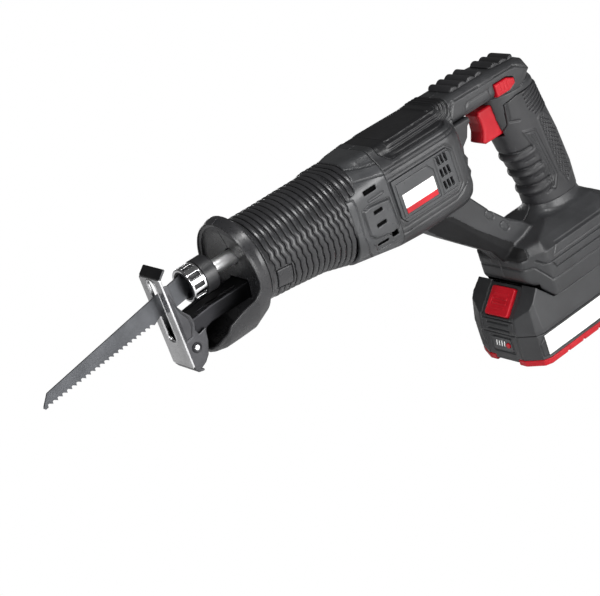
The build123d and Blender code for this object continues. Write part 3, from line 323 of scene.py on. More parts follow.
def moulded(name, colour, rough, grain=900.0, grain_depth=0.10, wear=0.35, shine=0.5):
    """Moulded plastic or rubber: fine grain, cloudy roughness, painted shade in hollows and rubbed edges."""
    material, shader, add, link = new_material(name)
    place = add("ShaderNodeTexCoord")
    fine = add("ShaderNodeTexNoise", Scale=grain, Detail=3.0, Roughness=0.6)
    cloud = add("ShaderNodeTexNoise", Scale=28.0, Detail=5.0, Roughness=0.62)
    scuff = add("ShaderNodeTexNoise", Scale=150.0, Detail=6.0, Roughness=0.7)
    for node in (fine, cloud, scuff):
        link(place.outputs["Object"], node.inputs["Vector"])
    bump = add("ShaderNodeBump", Strength=grain_depth, Distance=0.0004)
    link(fine.outputs["Fac"], bump.inputs["Height"])
    link(bump.outputs["Normal"], shader.inputs["Normal"])
    edges = add("ShaderNodeNewGeometry").outputs["Pointiness"]
    rubbed = ramp(add, link, edges, 0.52, 0.62, 0.0, wear)
    # Painted shade: hollows and creases (low pointiness) are darkened towards a third of the colour.
    painted_hollow_shade = ramp(add, link, edges, 0.48, 0.40, 0.0, 0.5)
    clouds = ramp(add, link, cloud.outputs["Fac"], 0.3, 0.7, 0.0, 1.0)
    tone = mixed(add, link, [c * 0.8 for c in colour], [min(1, c * 1.25 + 0.004) for c in colour], clouds)
    light = mixed(add, link, tone, [min(1, c * 2.2 + 0.05) for c in colour], rubbed)
    dark = mixed(add, link, light, [c * 0.35 for c in colour], painted_hollow_shade)
    link(dark, shader.inputs["Base Color"])
    cloudy = ramp(add, link, scuff.outputs["Fac"], 0.3, 0.75, rough - 0.07, rough + 0.10)
    link(cloudy, shader.inputs["Roughness"])
    shader.inputs["Specular IOR Level"].default_value = shine
    return material


def metal(name, colour, rough, brushed=(1.0, 1.0, 1.0), scratch=0.06):
    """Bare or plated metal with brush marks, smudges and brighter edges."""
    material, shader, add, link = new_material(name)
    place = add("ShaderNodeTexCoord")
    stretch = add("ShaderNodeMapping")
    stretch.inputs["Scale"].default_value = brushed
    link(place.outputs["Object"], stretch.inputs["Vector"])
    marks = add("ShaderNodeTexNoise", Scale=120.0, Detail=4.0, Roughness=0.7)
    link(stretch.outputs["Vector"], marks.inputs["Vector"])
    smudge = add("ShaderNodeTexNoise", Scale=45.0, Detail=5.0)
    link(place.outputs["Object"], smudge.inputs["Vector"])
    bump = add("ShaderNodeBump", Strength=scratch, Distance=0.0002)
    link(marks.outputs["Fac"], bump.inputs["Height"])
    link(bump.outputs["Normal"], shader.inputs["Normal"])
    smudges = ramp(add, link, smudge.outputs["Fac"], 0.32, 0.62, 0.0, 1.0)
    link(mixed(add, link, [c * 0.72 for c in colour], colour, smudges), shader.inputs["Base Color"])
    brushing = ramp(add, link, marks.outputs["Fac"], 0.3, 0.7, rough - 0.05, rough + 0.10)
    link(brushing, shader.inputs["Roughness"])
    shader.inputs["Metallic"].default_value = 1.0
    return material


CHARCOAL = moulded("charcoal_plastic", (0.021, 0.0215, 0.023), 0.40, wear=0.3)
GREY = moulded("grey_plastic", (0.032, 0.033, 0.035), 0.31, wear=0.35)
RUBBER = moulded("black_rubber", (0.013, 0.013, 0.0145), 0.44, grain=1300.0, grain_depth=0.16, wear=0.35)
BOOT_RUBBER = moulded("boot_rubber", (0.018, 0.018, 0.0195), 0.29, grain=1100.0, grain_depth=0.10, wear=0.3)
BLACK = moulded("black_plastic", (0.006, 0.006, 0.007), 0.38, wear=0.15)
RED = moulded("red_plastic", (0.36, 0.003, 0.010), 0.40, grain=700.0, grain_depth=0.06, wear=0.05, shine=0.3)
INLAY = moulded("strut_inlay", (0.004, 0.004, 0.0045), 0.62, wear=0.1, shine=0.22)
# Painted shadow: a near-black matte material for slot floors that would only be in shade.
SHADOW = moulded("painted_slot_shadow", (0.002, 0.002, 0.002), 0.85, wear=0.0, shine=0.03)
WHITE = moulded("label_white", (0.80, 0.80, 0.79), 0.35, grain=500.0, grain_depth=0.03, wear=0.0)
GREEN = moulded("board_green", (0.02, 0.16, 0.07), 0.35)
CELL = moulded("cell_wrap", (0.06, 0.20, 0.34), 0.25)
WIRE = moulded("wire_red", (0.40, 0.02, 0.02), 0.35)
CHROME = metal("chrome", (0.86, 0.86, 0.87), 0.10)
STEEL = metal("bright_steel", (0.60, 0.60, 0.61), 0.24, (1, 1, 18))
DARK_STEEL = metal("dark_steel", (0.085, 0.085, 0.09), 0.34, (1, 1, 12), 0.12)
BLADE_STEEL = metal("blade_steel", (0.10, 0.103, 0.11), 0.36, (3, 1, 40), 0.14)
ALUMINIUM = metal("cast_aluminium", (0.62, 0.63, 0.64), 0.42)
BRONZE = metal("bronze", (0.55, 0.36, 0.16), 0.32)
ROD = metal("polished_rod", (0.97, 0.97, 0.97), 0.42, (1, 14, 14), 0.03)
PAINTED = metal("black_oxide", (0.035, 0.035, 0.038), 0.38, (1, 1, 6), 0.12)
COPPER = metal("copper", (0.75, 0.36, 0.20), 0.28)

# ---- housing shape
WALL = 3.0
BODY_FRONT = 151.5
COVER_REAR = 190.5


def body_shape(f):
    """The main body, round at the boot and squarer over the motor."""
    stations = [151.5, 190.5, 212, 254, 260, 265, 268, 270]
    half = f.along_x(stations, [33, 32.5, 32.5, 32.5, 31.8, 30, 27.5, 24.5])
    low = f.along_x(stations, [-53.5, -57, -58, -57.5, -57, -55.2, -52.5, -49.5])
    high = f.along_x(stations, [22.5, 18, 14, 14, 13.2, 11.5, 9, 6])
    corner = f.along_x(stations, [29, 17, 15, 15, 15, 14.5, 13, 12])
    d = section(f.y, f.z - (low + high) / 2, half, (high - low) / 2, corner)
    return np.maximum(d, f.x - 270)


def spine_shape(f):
    """The ridge along the top that carries the dark cover."""
    stations = [156, 164, 178, 200, 272]
    half = f.along_x(stations, [12, 16.5, 21, 24, 20])
    high = f.along_x(stations, [18, 21.4, 22.4, 22.8, 24])
    d = section(f.y, f.z - (high - 6) / 2, half, (high + 6) / 2, 8.5)
    return np.maximum(d, np.maximum(156 - f.x, f.x - 272))


ARM_OUTLINE = [(255, 2), (352, 2), (362, 8.5), (357, 19), (350, 21.5), (315, 24), (255, 24)]
STRUT_OUTLINE = [(214, -50), (224, -64), (243, -81), (268, -102), (280, -112), (291, -130), (330, -130),
                 (329, -119), (322, -110), (313, -101), (302, -94), (286, -77), (273, -60), (268, -50)]


def arm_shape(f):
    """The bridge over the trigger."""
    return rounded(side(f, ARM_OUTLINE), np.abs(f.y) - 19, 7)


STRUT_INLAY = [(221, -60.5), (240, -59), (251, -65), (269, -85.5), (291, -106.5), (299, -113), (294, -124),
               (283, -126),
               (200, -72)]


def strut_shape(f):
    """The brace below the hand opening, with its lower edges cut back."""
    d = rounded(side(f, STRUT_OUTLINE), np.abs(f.y) - 13, 1.6)
    height = (f.x - 214) * 0.75 + (f.z + 50) * 0.66
    facet = (14 - height) * 0.447 + (np.abs(f.y) - 13) * 0.894
    return np.maximum(d, np.where(f.x < 292, facet, -5))


GRIP_SQUARENESS = 2.3                   # 2 would be an ellipse


def grip_shape(f):
    """The leaning oval handle."""
    stations = [-116, -100, -80, -50, -20, 0, 16]
    front = f.along_z(stations, [326, 334.5, 333, 325.5, 319, 317, 321])
    rear = f.along_z(stations, [386, 381, 381.5, 378, 371.5, 368, 358])
    half = f.along_z(stations, [24, 19, 18, 18, 18.5, 18.5, 15])
    deep = (rear - front) / 2
    u = (f.x - (front + rear) / 2) / deep
    v = f.y / half
    reach = (np.abs(u) ** GRIP_SQUARENESS + np.abs(v) ** GRIP_SQUARENESS) ** (1 / GRIP_SQUARENESS)
    d = (reach - 1) * np.minimum(deep, half) * 0.97
    return rounded(d, np.maximum(f.z - 18, -117 - f.z), 3)


FOOT_CORNER = 9.0


def foot_plan():
    """The foot seen from above, before its corners are rounded outwards."""
    right = [(298, 20.5), (309, 30), (383, 30), (391, 22)]
    return [(x, -y) for x, y in right] + right[::-1]


def foot_shape(f):
    """The wide foot with sloping shoulders over the battery."""
    shoulder = f.along_z([-160, -121.5, -114, -108, -103], [0, 0, 8, 16, 26])
    top = f.along_x([283, 308, 330, 400], [-119, -114, -107, -107])
    d = rounded(plan(f, foot_plan()) - FOOT_CORNER + shoulder, np.maximum(f.z - top, -160 - f.z), 1.6)
    slope = ((f.x - 288.7) * 17.6 + (f.z + 141) * 14.3) / -22.7
    return rounded(d, slope, 1.2)


def ridged_body(f):
    """The body with its ridge."""
    return blend(body_shape(f), spine_shape(f), 2.5)


def outer_shape(f):
    """The whole housing before it is divided."""
    d = blend(ridged_body(f), arm_shape(f), 3)
    d = blend(d, grip_shape(f), 4)
    return blend(d, blend(strut_shape(f), foot_shape(f), 2.5), 5)


PANEL_OUTLINE = [(193, -3), (249, -3), (253.5, -7.5), (253.5, -33), (249, -37), (197, -37), (193, -33)]
INNER_PANEL = [(195.5, -6.5), (227.5, -6.5), (232.5, -12.5), (232.5, -34), (195.5, -34)]
LABEL_OUTLINE = [(199, -16.5), (231, -16.5), (231, -32), (199, -32)]
TOP_COVER_OUTLINE = [(203, 9.8), (261, 9.8), (270, 12.5), (274, 20), (274, 40), (197, 40), (197, 17)]
OVAL_MARKS = [(284.5, -80.5), (295.5, -96)]
LOCK_OUTLINE = [(320, 2.5), (334, 2.5), (341, 6), (341, 10.5), (334, 13.6), (320, 13.6)]


def vents(f):
    """Nine slanting slots."""
    wide, tall, lean = 2.1, 6.4, 0.6
    marks = FAR_OFF
    for row in range(3):
        for column in range(3):
            x = 237.5 + 3.7 * column
            top = -5.6 - 9.9 * row
            low = top - tall
            corners = [(x, top), (x + wide, top), (x + wide + lean, low), (x + lean, low)]
            marks = np.minimum(marks, side(f, corners) - 0.15)
    return marks


def sleeve_region(f):
    """Where the handle is covered in rubber."""
    return side(f, [(300, -99), (400, -99), (400, -4), (338, -4), (327, -7), (326, -24), (320, -33),
                    (300, -36)])


def rails_pocket(f):
    """The undercut channel under the foot."""
    return np.minimum(box(f, (270, -31, -155), (390, 31, -147), 0.3),
                      box(f, (270, -26, -170), (390, 26, -154), 0.3))


def housing_half():
    """One half of the clamshell, as distance on a field that ends at the split."""
    f = Field((188, -41, -163), (403, 0.6, 27), 0.7)
    outer = outer_shape(f)
    cavity = outer + WALL
    d = outer
    flank = np.maximum(f.y + 20, 0)
    frame_line = [(191.8, -0.6), (250, -0.6), (256, -6), (256, -34.4), (250.5, -39.6), (191.8, -39.6)]
    d = trace(f, d, frame_line, 0.45, flank, 0.9)
    d = scribe(f, d, [(191, -44.5), (246, -44.5), (262, -36)], 0.5, flank, 0.9)
    for lift in (0, 2.6):
        high_line = [(191, 4.5 + lift), (264, 4.5 + lift), (273, 9 + lift), (278, 17 + lift)]
        d = scribe(f, d, high_line, 0.4, f.y + 10, 0.8)
    d = scribe(f, d, [(281, 19), (345, 18), (356, 12)], 0.4, f.y + 10, 0.8)
    d = scribe(f, d, [(317, 1), (346, 1), (362, 6)], 0.4, f.y + 8, 0.8)
    pocket = np.maximum(side(f, PANEL_OUTLINE) - 0.25, f.y + 31.4)
    d = cut(d, pocket)
    d = cut(d, np.maximum(side(f, TOP_COVER_OUTLINE), -(outer + 2.0)))
    grip = grip_shape(f)
    skin = np.maximum(-(grip + 2.6), grip - 2.6)
    d = cut(d, np.maximum(sleeve_region(f), skin))
    d = scribe(f, d, [(280, -132), (297, -132), (306, -146), (390, -146)], 0.5, -FAR_OFF, 0.8)
    for hook in ([(299, -127), (303, -131), (396, -131)], [(310, -133.5), (313, -137.5), (396, -137.5)]):
        d = scribe(f, d, hook, 0.7, f.y + 28, 1.3)
    ledge = rounded(side(f, [(318, -120), (394, -120), (394, -128), (312, -128)]), f.y + 22, 0.3)
    d = engrave(d, np.abs(ledge) - 0.5, 0.8)
    for x, z in OVAL_MARKS:
        along = ((f.x - x) * 0.58 - (f.z - z) * 0.82) / 1.7
        across = (f.x - x) * 0.82 + (f.z - z) * 0.58
        d = engrave(d, np.maximum(np.abs(np.hypot(along, across) - 2.9) - 0.45, f.y + 10), 0.7)
    d = trace(f, d, STRUT_INLAY, 0.4, f.y + 11, 0.6)
    d = trace(f, d, [(289, 4.6), (315, 4.6), (315, 12.4), (291.5, 12.4), (289, 9.5)], 0.4, f.y + 10, 0.7)
    d = cut(d, cavity)
    d = cut(d, rails_pocket(f))
    d = cut(d, box(f, (376, -8, -150), (384, 8, -141.8), 0.1))
    d = cut(d, np.maximum(vents(f), f.y + 10))
    d = cut(d, box(f, (300, -8.7, -31), (337, 8.7, -3.6), 0.3))
    d = cut(d, box(f, (325.5, -9.4, -32.2), (338, 9.4, -0.2), 0.3))
    d = cut(d, side(f, LOCK_OUTLINE) - 0.3)
    d = np.maximum(d, COVER_REAR - f.x)
    return f, np.maximum(d, f.y + 0.08)


def build_housing():
    """Both halves of the housing; the right one is the left one mirrored."""
    f, d = housing_half()
    halves = carve_sides(f, d, ("housing_left", "housing_right"), ("left_housing", "right_housing"), CHARCOAL)
    inlay = np.maximum(side(f, STRUT_INLAY), f.y + 6)
    for half in halves:
        paint(half, f, inlay, INLAY)


RAISED_PANEL = [(163, -11.5), (169, -10.5), (186.5, -13), (187.5, -36), (184, -38), (166, -33.5),
                (162.5, -30)]
COVER_SLOTS = [(168, 180, 0.6, 1.7), (170.5, 179, -16.3, 1.4), (169.5, 179, -26.4, 1.4),
               (167, 177, -41.0, 1.1)]  # front, rear, height and half width


def build_gear_cover():
    """The ring of housing between boot and motor, with its slots and raised panel."""
    f = Field((150, -35, -59), (192, 0, 25), 0.5, mirrored=True)
    outer = ridged_body(f)
    d = outer
    flank = f.y + 14
    raised = side(f, RAISED_PANEL)
    d = emboss(d, np.maximum(raised, flank), 1.0)
    d = engrave(d, np.maximum(np.abs(raised - 1.2) - 0.6, flank), 0.9)
    edge = [(153, 2), (157.5, 1), (158.5, -6), (157, -30), (160, -44), (166, -52)]
    d = scribe(f, d, edge, 0.45, flank, 0.8)
    # slots marks the slot and notch floors that get painted shadow.
    slots = np.full_like(outer, FAR_OFF)
    for front, rear, z, wide in COVER_SLOTS:
        slot = rounded(np.abs(f.x - (front + rear) / 2) - (rear - front) / 2, np.abs(f.z - z) - wide, 0.6)
        slots = np.minimum(slots, np.maximum(slot - 0.4, flank))
        d = engrave(d, np.maximum(slot, flank), 2.5)
    notch = side(f, [(179, -37.5), (186, -36.5), (186.5, -41.5), (181, -41.5)])
    slots = np.minimum(slots, np.maximum(notch - 0.4, flank))
    d = engrave(d, np.maximum(notch, flank), 2.2)
    d = scribe(f, d, [(170.5, -6.3), (184, -6.0)], 1.1, flank, 0.9)
    d = scribe(f, d, [(164, -39), (168, -46), (180, -46)], 0.5, flank, 0.8)
    d = scribe(f, d, [(153, 20), (163, 19.5), (178, 15.5), (190, 13.5)], 0.45, f.y + 9, 0.8)
    d = scribe(f, d, [(156, 12), (170, 9.5), (183, 7), (190, 5)], 0.4, f.y + 9, 0.7)
    d = cut(d, outer + WALL)
    d = np.maximum(d, np.maximum(0.2 - side(f, BOOT_REAR), f.x - COVER_REAR + 0.3))
    piece = carve("gear_cover_shell", f, d, GREY, "housing", ["gear_cover"])
    # Painted shadow: faces deeper than 0.6 mm inside the slots and notch get the near-black SHADOW material.
    paint(piece, f, np.maximum(slots, outer + 0.6), SHADOW)


# ---- nose boot
def oval(f, middle, half, tall):
    """Distance to a tube along X with an oval section."""
    reach = np.sqrt((f.y / half) ** 2 + ((f.z - middle) / tall) ** 2)
    return (reach - 1) * np.minimum(half, tall)


def barrel_shape(f, grow=0.0):
    """The oval barrel behind the flared rim."""
    stations = [60, 69.5, 77, 100, 127, 151.5, 160]
    middle = f.along_x(stations, [-6, -6.4, -9, -10.4, -12, -15.5, -16])
    half = f.along_x(stations, [37, 35.8, 32, 32.6, 34.2, 33, 33]) + grow
    tall = f.along_x(stations, [37, 35.8, 32, 32.8, 34.4, 38, 38]) + grow
    return oval(f, middle, half, tall)


def chin_shape(f, grow=0.0):
    """The scoop in front of the flange."""
    stations = [22, 25, 32, 44, 56, 70, 80]
    middle = f.along_x(stations, [-46.5, -44, -36, -24, -14, -8, -8])
    half = f.along_x(stations, [6, 13, 22, 29, 35, 36.8, 36.8]) + grow
    tall = f.along_x(stations, [7, 10.5, 19.5, 31, 40, 38.2, 38.2]) + grow
    return np.maximum(oval(f, middle, half, tall), 22.5 - f.x)


RIM_CUT = [(61.5, 60), (61.5, -13), (60, -18), (54, -24), (46, -27.4), (34.5, -35), (31.5, -40), (23, -50),
           (10, -54), (10, 60)]
BOOT_PAD = [(78.7, -13.4), (92.1, -14.7), (92.6, -31), (78.7, -28.5)]
BOOT_REAR = [(60, -70), (151.3, -70), (151.3, 2), (161.7, 5), (165.7, 14), (168.7, 22), (171, 40), (60, 40)]
GROOVE_KINKS = [(0, 60), (0, 3), (1.0, -0.5), (-0.2, -4), (1.7, -9), (1.1, -13), (2.7, -17), (2.3, -21.5),
                (3.4, -26.5), (3.4, -60)]
GROOVE_COUNT = 19
GROOVE_PITCH = 5.0
FIRST_GROOVE = 77.2


def build_boot():
    """Flared rim, chin scoop and grooved barrel."""
    f = Field((20, -39, -58), (172, 0, 33), 0.5, mirrored=True)
    barrel = np.where(f.x < BODY_FRONT, barrel_shape(f), ridged_body(f))
    skin = -(barrel + 1.4)
    outer = np.maximum(barrel, np.maximum(69 - f.x, side(f, BOOT_REAR)))
    for index in range(GROOVE_COUNT):
        x = FIRST_GROOVE + GROOVE_PITCH * index
        groove = line(f.x, f.z, [(x + dx, z) for dx, z in GROOVE_KINKS])
        outer = outer - 0.28 * np.exp(-((groove - 2.5) / 1.4) ** 2)
        outer = np.maximum(outer, -np.maximum(groove - 0.48, skin))
    pad = side(f, BOOT_PAD)
    outer = np.where(pad < 0, np.maximum(np.minimum(outer, barrel - 0.6), 69 - f.x), outer)
    outer = np.maximum(outer, -np.maximum(np.abs(pad) - 0.45, skin))
    centre = np.hypot(f.y, f.z + 6.0)
    flare = f.along_x([62, 67, 70], [34.6, 36.6, 37.0])
    flange = rounded(centre - flare, np.maximum(62.0 - f.x, f.x - 70.2), 0.8)
    chin = rounded(chin_shape(f), np.maximum(-side(f, RIM_CUT), f.x - 68), 1.0)
    shape = blend(blend(outer, flange, 1.2), chin, 1.5)
    behind = np.maximum(np.abs(f.x - 71.4) - 0.6, -(barrel_shape(f) + 1.6))
    shape = cut(shape, np.maximum(behind, centre - 35.2))
    edge_bead = np.abs(side(f, RIM_CUT)) - 0.9
    shape = np.minimum(shape, rounded(edge_bead, np.abs(chin_shape(f) - 0.2) - 0.7, 0.4))
    dish = np.maximum(f.x - 62.0 - 5.0 * (1 - (centre / 33.6) ** 2), centre - 33.6)
    hollow = np.minimum(np.maximum(chin_shape(f, -2.6), f.x - 64), np.maximum(dish, 58 - f.x))
    shape = cut(shape, hollow)
    wall = np.maximum(np.where(f.x < BODY_FRONT, barrel_shape(f, -3.4), barrel + 3.0), 69.5 - f.x)
    shape = cut(shape, wall)
    shape = cut(shape, np.maximum(np.hypot(f.y, f.z) - 6.6, f.x - 90))
    shape = cut(shape, box(f, (50, -11.5, -31), (90, 11.5, -17.5), 0.5))
    seam = np.maximum(np.abs(f.y) - 0.35, np.abs(f.x - 64) - 3.5)
    shape = cut(shape, np.maximum(seam, -f.z + 8))
    carve("nose_boot_rubber", f, shape, BOOT_RUBBER, "housing", ["nose_boot"])


# ---- rubber and small pieces of the housing
def build_top_cover():
    """The dark skin on the top ridge with nested ribs at its rear."""
    f = Field((195, -30, 7), (277, 0, 28), 0.45, mirrored=True)
    outer = outer_shape(f)
    reach = -side(f, TOP_COVER_OUTLINE)
    wave = 0.5 + 0.5 * np.cos((reach - 2.6) * 2 * math.pi / 3.2)
    height = 0.8 * np.clip(wave * 1.6 - 0.3, 0, 1)
    height = height * np.clip((12.5 - reach) * 2, 0, 1) * np.clip((f.x - 206) / 6, 0, 1)
    d = outer + 0.7 - height
    d = np.maximum(d, -(outer + 1.9))
    d = np.maximum(d, 0.15 - reach)
    carve("top_cover_rubber", f, d, BLACK, "housing", ["top_cover"])


def build_pads():
    """Ridged pads on the bridge over the trigger."""
    f = Field((281, -16, 17), (354, 0, 28.5), 0.4, mirrored=True)
    top = f.along_x([283, 315, 352], [24, 24, 21.2])
    wave = np.abs(np.sin((f.x - 283) * math.pi / 9.0)) ** 0.8
    front = rounded(np.abs(f.x - 301) - 18, np.abs(f.y) - 13.5, 3)
    rear = rounded(np.abs(f.x - 339.5) - 12.8, np.abs(f.y) - 12.5, 3)
    mark = np.minimum(front, rear)
    rise = 0.9 + 2.6 * wave
    d = rounded(f.z - top - rise, mark, 1.2)
    d = np.maximum(d, -(arm_shape(f)) + 0.05)
    carve("top_pads_rubber", f, d, RUBBER, "housing", ["top_pads"])


FINGER_SLOTS = [(330, -50.3, 340, -48.8), (334.5, -66, 344, -64.2), (339.5, -81.8, 347.5, -79.5)]


def build_grip_sleeve():
    """The rubber of the handle: ribs behind, a diamond patch on the palm side and finger slots in front."""
    f = Field((312, -20, -106), (386, 0, 1), 0.45, mirrored=True)
    grip = grip_shape(f)
    d = grip - 0.5
    flank = f.y + 2
    patch = side(f, [(353, -31), (360, -28), (370, -40), (374, -84), (364, -92), (358.5, -79)])
    d = d - 0.6 * np.exp(-(patch / 0.9) ** 2) * (flank < 0)
    rows = np.cos((f.x + f.z * 0.35) * 1.5) * np.cos((f.z - f.x * 0.35) * 1.15)
    d = d + 0.38 * np.clip(rows * 2.0, -1, 1) * (patch < -1.4) * (flank < 0)
    strip = side(f, [(336, -34.5), (346.5, -37.0), (355.5, -80.5), (350, -90), (346.5, -88), (345, -58)])
    outline = np.exp(-(strip / 0.8) ** 2) + np.exp(-((strip + 2.6) / 0.8) ** 2)
    d = d - 0.7 * outline * (f.y + 9 < 0)
    for front_x, front_z, rear_x, rear_z in FINGER_SLOTS:
        slot = line(f.x, f.z, [(front_x - 12, front_z - 2), (front_x, front_z), (rear_x, rear_z)])
        d = d + 1.5 * np.exp(-(slot / 1.4) ** 2)
        swell = line(f.x, f.z, [(front_x - 12, front_z - 6.8), (front_x, front_z - 4.6),
                                (rear_x, rear_z - 4)])
        d = d - 1.1 * np.exp(-(swell / 2.4) ** 2)
        tick = line(f.x, f.z, [(front_x + 4, front_z - 9.4), (rear_x, rear_z - 9.4)])
        d = d + 0.5 * np.exp(-(tick / 0.8) ** 2) * (f.y + 9 < 0)
    shade = side(f, [(344, -3), (390, 6), (390, -30), (352, -27), (346, -20)])
    ribs = np.cos((f.z - f.x * 0.27) * 2 * math.pi / 3.4)
    d = d - 0.75 * np.clip(ribs * 1.6, -1, 0.4) * np.clip(-shade / 1.5, 0, 1) * (flank < 0)
    seam = line(f.x, f.z, [(329, -7), (328.4, -22), (336, -24)])
    d = d + 0.7 * np.exp(-(seam / 0.7) ** 2) * (flank < 0)
    d = cut(d, grip + 2.5)
    d = np.maximum(d, sleeve_region(f) + 0.12)
    d = cut(d, box(f, (300, -9.6, -32.5), (338.5, 9.6, 0), 0.3))
    carve("grip_rubber", f, d, RUBBER, "housing", ["grip_sleeve"])


def build_guard_pad():
    """The wavy pad on the tail of the body, inside the hand opening."""
    f = Field((262, -22, -50), (288, 0, 4), 0.4, mirrored=True)
    wave = [(262, 2.6), (292, 2.6), (291, -0.5), (285.5, -4), (282, -12), (276, -17), (275, -22),
            (277, -26.5), (275, -31.5), (276.4, -37), (273.6, -42), (270, -47), (262, -47)]
    d = rounded(side(f, wave), np.abs(f.y) - 20, 2.2)
    d = cut(d, outer_shape(f) - 0.02)
    carve("guard_pad_rubber", f, d, RUBBER, "housing", ["guard_pad"])


def build_side_panels():
    """The raised plates on both flanks with their vents and a blank sign plate."""
    f = Field((192, -34.6, -38.5), (255, -30.5, -1.5), 0.3)
    outline = side(f, PANEL_OUTLINE)
    d = np.maximum(outline, np.maximum(-33.2 - f.y, f.y + 31.42))
    d = trace(f, d, INNER_PANEL, 0.5, f.y + 32.5, 0.7)
    d = engrave(d, np.maximum(side(f, LABEL_OUTLINE) - 0.3, f.y + 32.3), 0.45)
    d = cut(d, vents(f))
    vent_frame = [(235.5, -4.8), (250, -4.8), (251.8, -7.5), (251.8, -33), (250, -34.5), (235.5, -34.5)]
    d = trace(f, d, vent_frame, 0.4, f.y + 32.5, 0.6)
    carve_sides(f, d, ("side_panel_left", "side_panel_right"), ("left_side_panel", "right_side_panel"), GREY)


STRIPE_TOP = -27.4


def build_signs():
    """The blank white sign plates with a red stripe along the bottom."""
    f = Field((198, -33.4, -33), (232, -31.6, -15.5), 0.3)
    outline = side(f, LABEL_OUTLINE)
    d = rounded(outline + 0.1, np.maximum(-33.1 - f.y, f.y + 32.0), 0.15)
    for piece in carve_sides(f, d, ("sign_left", "sign_right"), ("side_labels", "side_labels"), WHITE):
        middles = np.array([face.center.z for face in piece.data.polygons]) / MM
        piece.data.materials.append(RED)
        piece.data.polygons.foreach_set("material_index", (middles < STRIPE_TOP).astype(np.int32))


def keep(node, material):
    """Shows a CAD node with softened edges and a material."""
    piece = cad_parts[node]
    piece.data.materials.clear()
    piece.data.materials.append(material)
    soft = piece.modifiers.new("soft_edges", "BEVEL")
    soft.width = 0.35 * MM
    soft.segments = 2
    soft.limit_method = "ANGLE"
    soft.angle_limit = math.radians(32)
    soft.harden_normals = False


# ---- battery
def pack_plan(inset=0.0):
    """Corners of the battery seen from above."""
    right = [(268 + inset, 21), (275 + inset, 36 - inset), (281 + inset, 39 - inset), (384, 39 - inset),
             (392 - inset, 31)]
    return [(x, -y) for x, y in right] + right[::-1]


def pack_shape(f, low, high, corner=2.0):
    """A slab of the battery with rounded upright edges."""
    return rounded(plan(f, pack_plan()), np.maximum(low - f.z, f.z - high), corner)


LATCH_MIDDLE = (278.8, -157.6)
CASE_WALL = 2.2
RISER_OUTLINE = [(290.4, -146.2), (266, -170.6), (266, -182), (312, -182), (312, -161), (303.4, -160.4)]
LOWER_PANEL = [(282, -182.5), (382, -182.5), (382, -201), (276, -201), (276, -190)]


def latch_axes(f):
    """Distance up the battery's sloping front and out of it."""
    along = ((f.x - LATCH_MIDDLE[0]) + (f.z - LATCH_MIDDLE[1])) / math.sqrt(2)
    out = ((f.z - LATCH_MIDDLE[1]) - (f.x - LATCH_MIDDLE[0])) / math.sqrt(2)
    return along, out


def build_upper_case():
    """The upper half of the battery case with its rails and the well of the latch."""
    f = Field((266, -41, -182), (394, 0, -144), 0.6, mirrored=True)
    taper = 5.5 * np.clip((f.z + 178) / 32, 0, 1)
    upper = np.maximum(pack_shape(f, -190, -161, 3.0), plan(f, pack_plan()) + taper)
    riser = np.maximum(np.maximum(pack_shape(f, -190, -140, 1.2), plan(f, pack_plan()) + taper),
                       side(f, RISER_OUTLINE))
    d = np.minimum(upper, riser)
    slant = ((268.2 - f.x) + (f.z + 168.2)) / math.sqrt(2)
    d = np.maximum(d, slant)
    along, out = latch_axes(f)
    dish = rounded(np.abs(along - 0.5) - 15.6, np.abs(f.y) - 18, 1)
    d = engrave(d, dish, 1.0)
    for z in (-172.5, -177.5):
        d = engrave(d, np.maximum(np.abs(f.z - z) - 0.7, np.maximum(np.abs(f.y) - 13, f.x - 276)), 1.1)
    d = engrave(d, np.maximum(np.abs(f.z + 168.6) - 0.5, np.abs(f.y) - 13.5), 0.7)
    front_panel = np.abs(plan(f, [(262, -18), (285, -18), (285, 18), (262, 18)])) - 0.4
    d = engrave(d, np.maximum(front_panel, f.z + 166), 0.7)
    inner = rounded(plan(f, pack_plan(CASE_WALL)) + taper, np.maximum(-190 - f.z, f.z + 163.2), 1)
    d = cut(d, np.maximum(inner, slant + CASE_WALL))
    rails = np.minimum(box(f, (303, -30.6, -154.6), (370.5, 30.6, -147.6), 0.6),
                       box(f, (303, -25.6, -162), (370.5, 25.6, -153), 0.6))
    d = np.minimum(d, rails)
    d = cut(d, box(f, (314, -22.5, -164), (350, 22.5, -150), 0.3))
    well = rounded(np.abs(along) - 14.2, np.abs(f.y) - 15.4, 1)
    d = np.minimum(d, rounded(well, np.maximum(-12.2 - out, out + 1), 0.2))
    d = cut(d, np.maximum(rounded(np.abs(along) - 12.3, np.abs(f.y) - 13.4, 1.5), -10.5 - out))
    for y in (-16, -8, 0):
        d = cut(d, box(f, (352, y - 0.95, -157.5), (373, y + 0.95, -149.5), 0.0))
    d = np.maximum(d, -181 - f.z)
    carve("battery_upper", f, d, CHARCOAL, "battery_body", ["battery_top_case"])


def build_lower_case():
    """The lower half of the battery case with the frame of the charge gauge."""
    f = Field((266, -41, -206), (394, 0, -180), 0.6, mirrored=True)
    outer = pack_shape(f, -214, -170, 2.0)
    d = trace(f, outer, LOWER_PANEL, 0.5, f.y + 30, 0.8)
    centre_panel = np.maximum(np.abs(np.abs(f.y) - 19) - 0.5, f.x - 272)
    d = engrave(d, centre_panel, 0.9)
    face = rounded(np.abs(f.y) - 12.6, np.abs(f.z + 191) - 7.2, 1.5)
    d = engrave(d, np.maximum(np.abs(face) - 0.45, f.x - 272), 0.8)
    d = cut(d, rounded(plan(f, pack_plan(CASE_WALL)), np.maximum(-214 - f.z, f.z + 150), 1))
    d = cut(d, box(f, (260, -11.1, -197.1), (275, 11.1, -184.9), 0.4))
    d = np.maximum(d, np.maximum(-203 - f.z, f.z + 181.4))
    heel = np.maximum(pack_shape(f, -206.5, -190, 0.5), np.maximum(np.abs(f.y) - 13.2, f.x - 277.5))
    d = np.minimum(d, np.maximum(heel, f.z + 202.8))
    carve("battery_lower", f, d, CHARCOAL, "battery_body", ["battery_lower_case"])


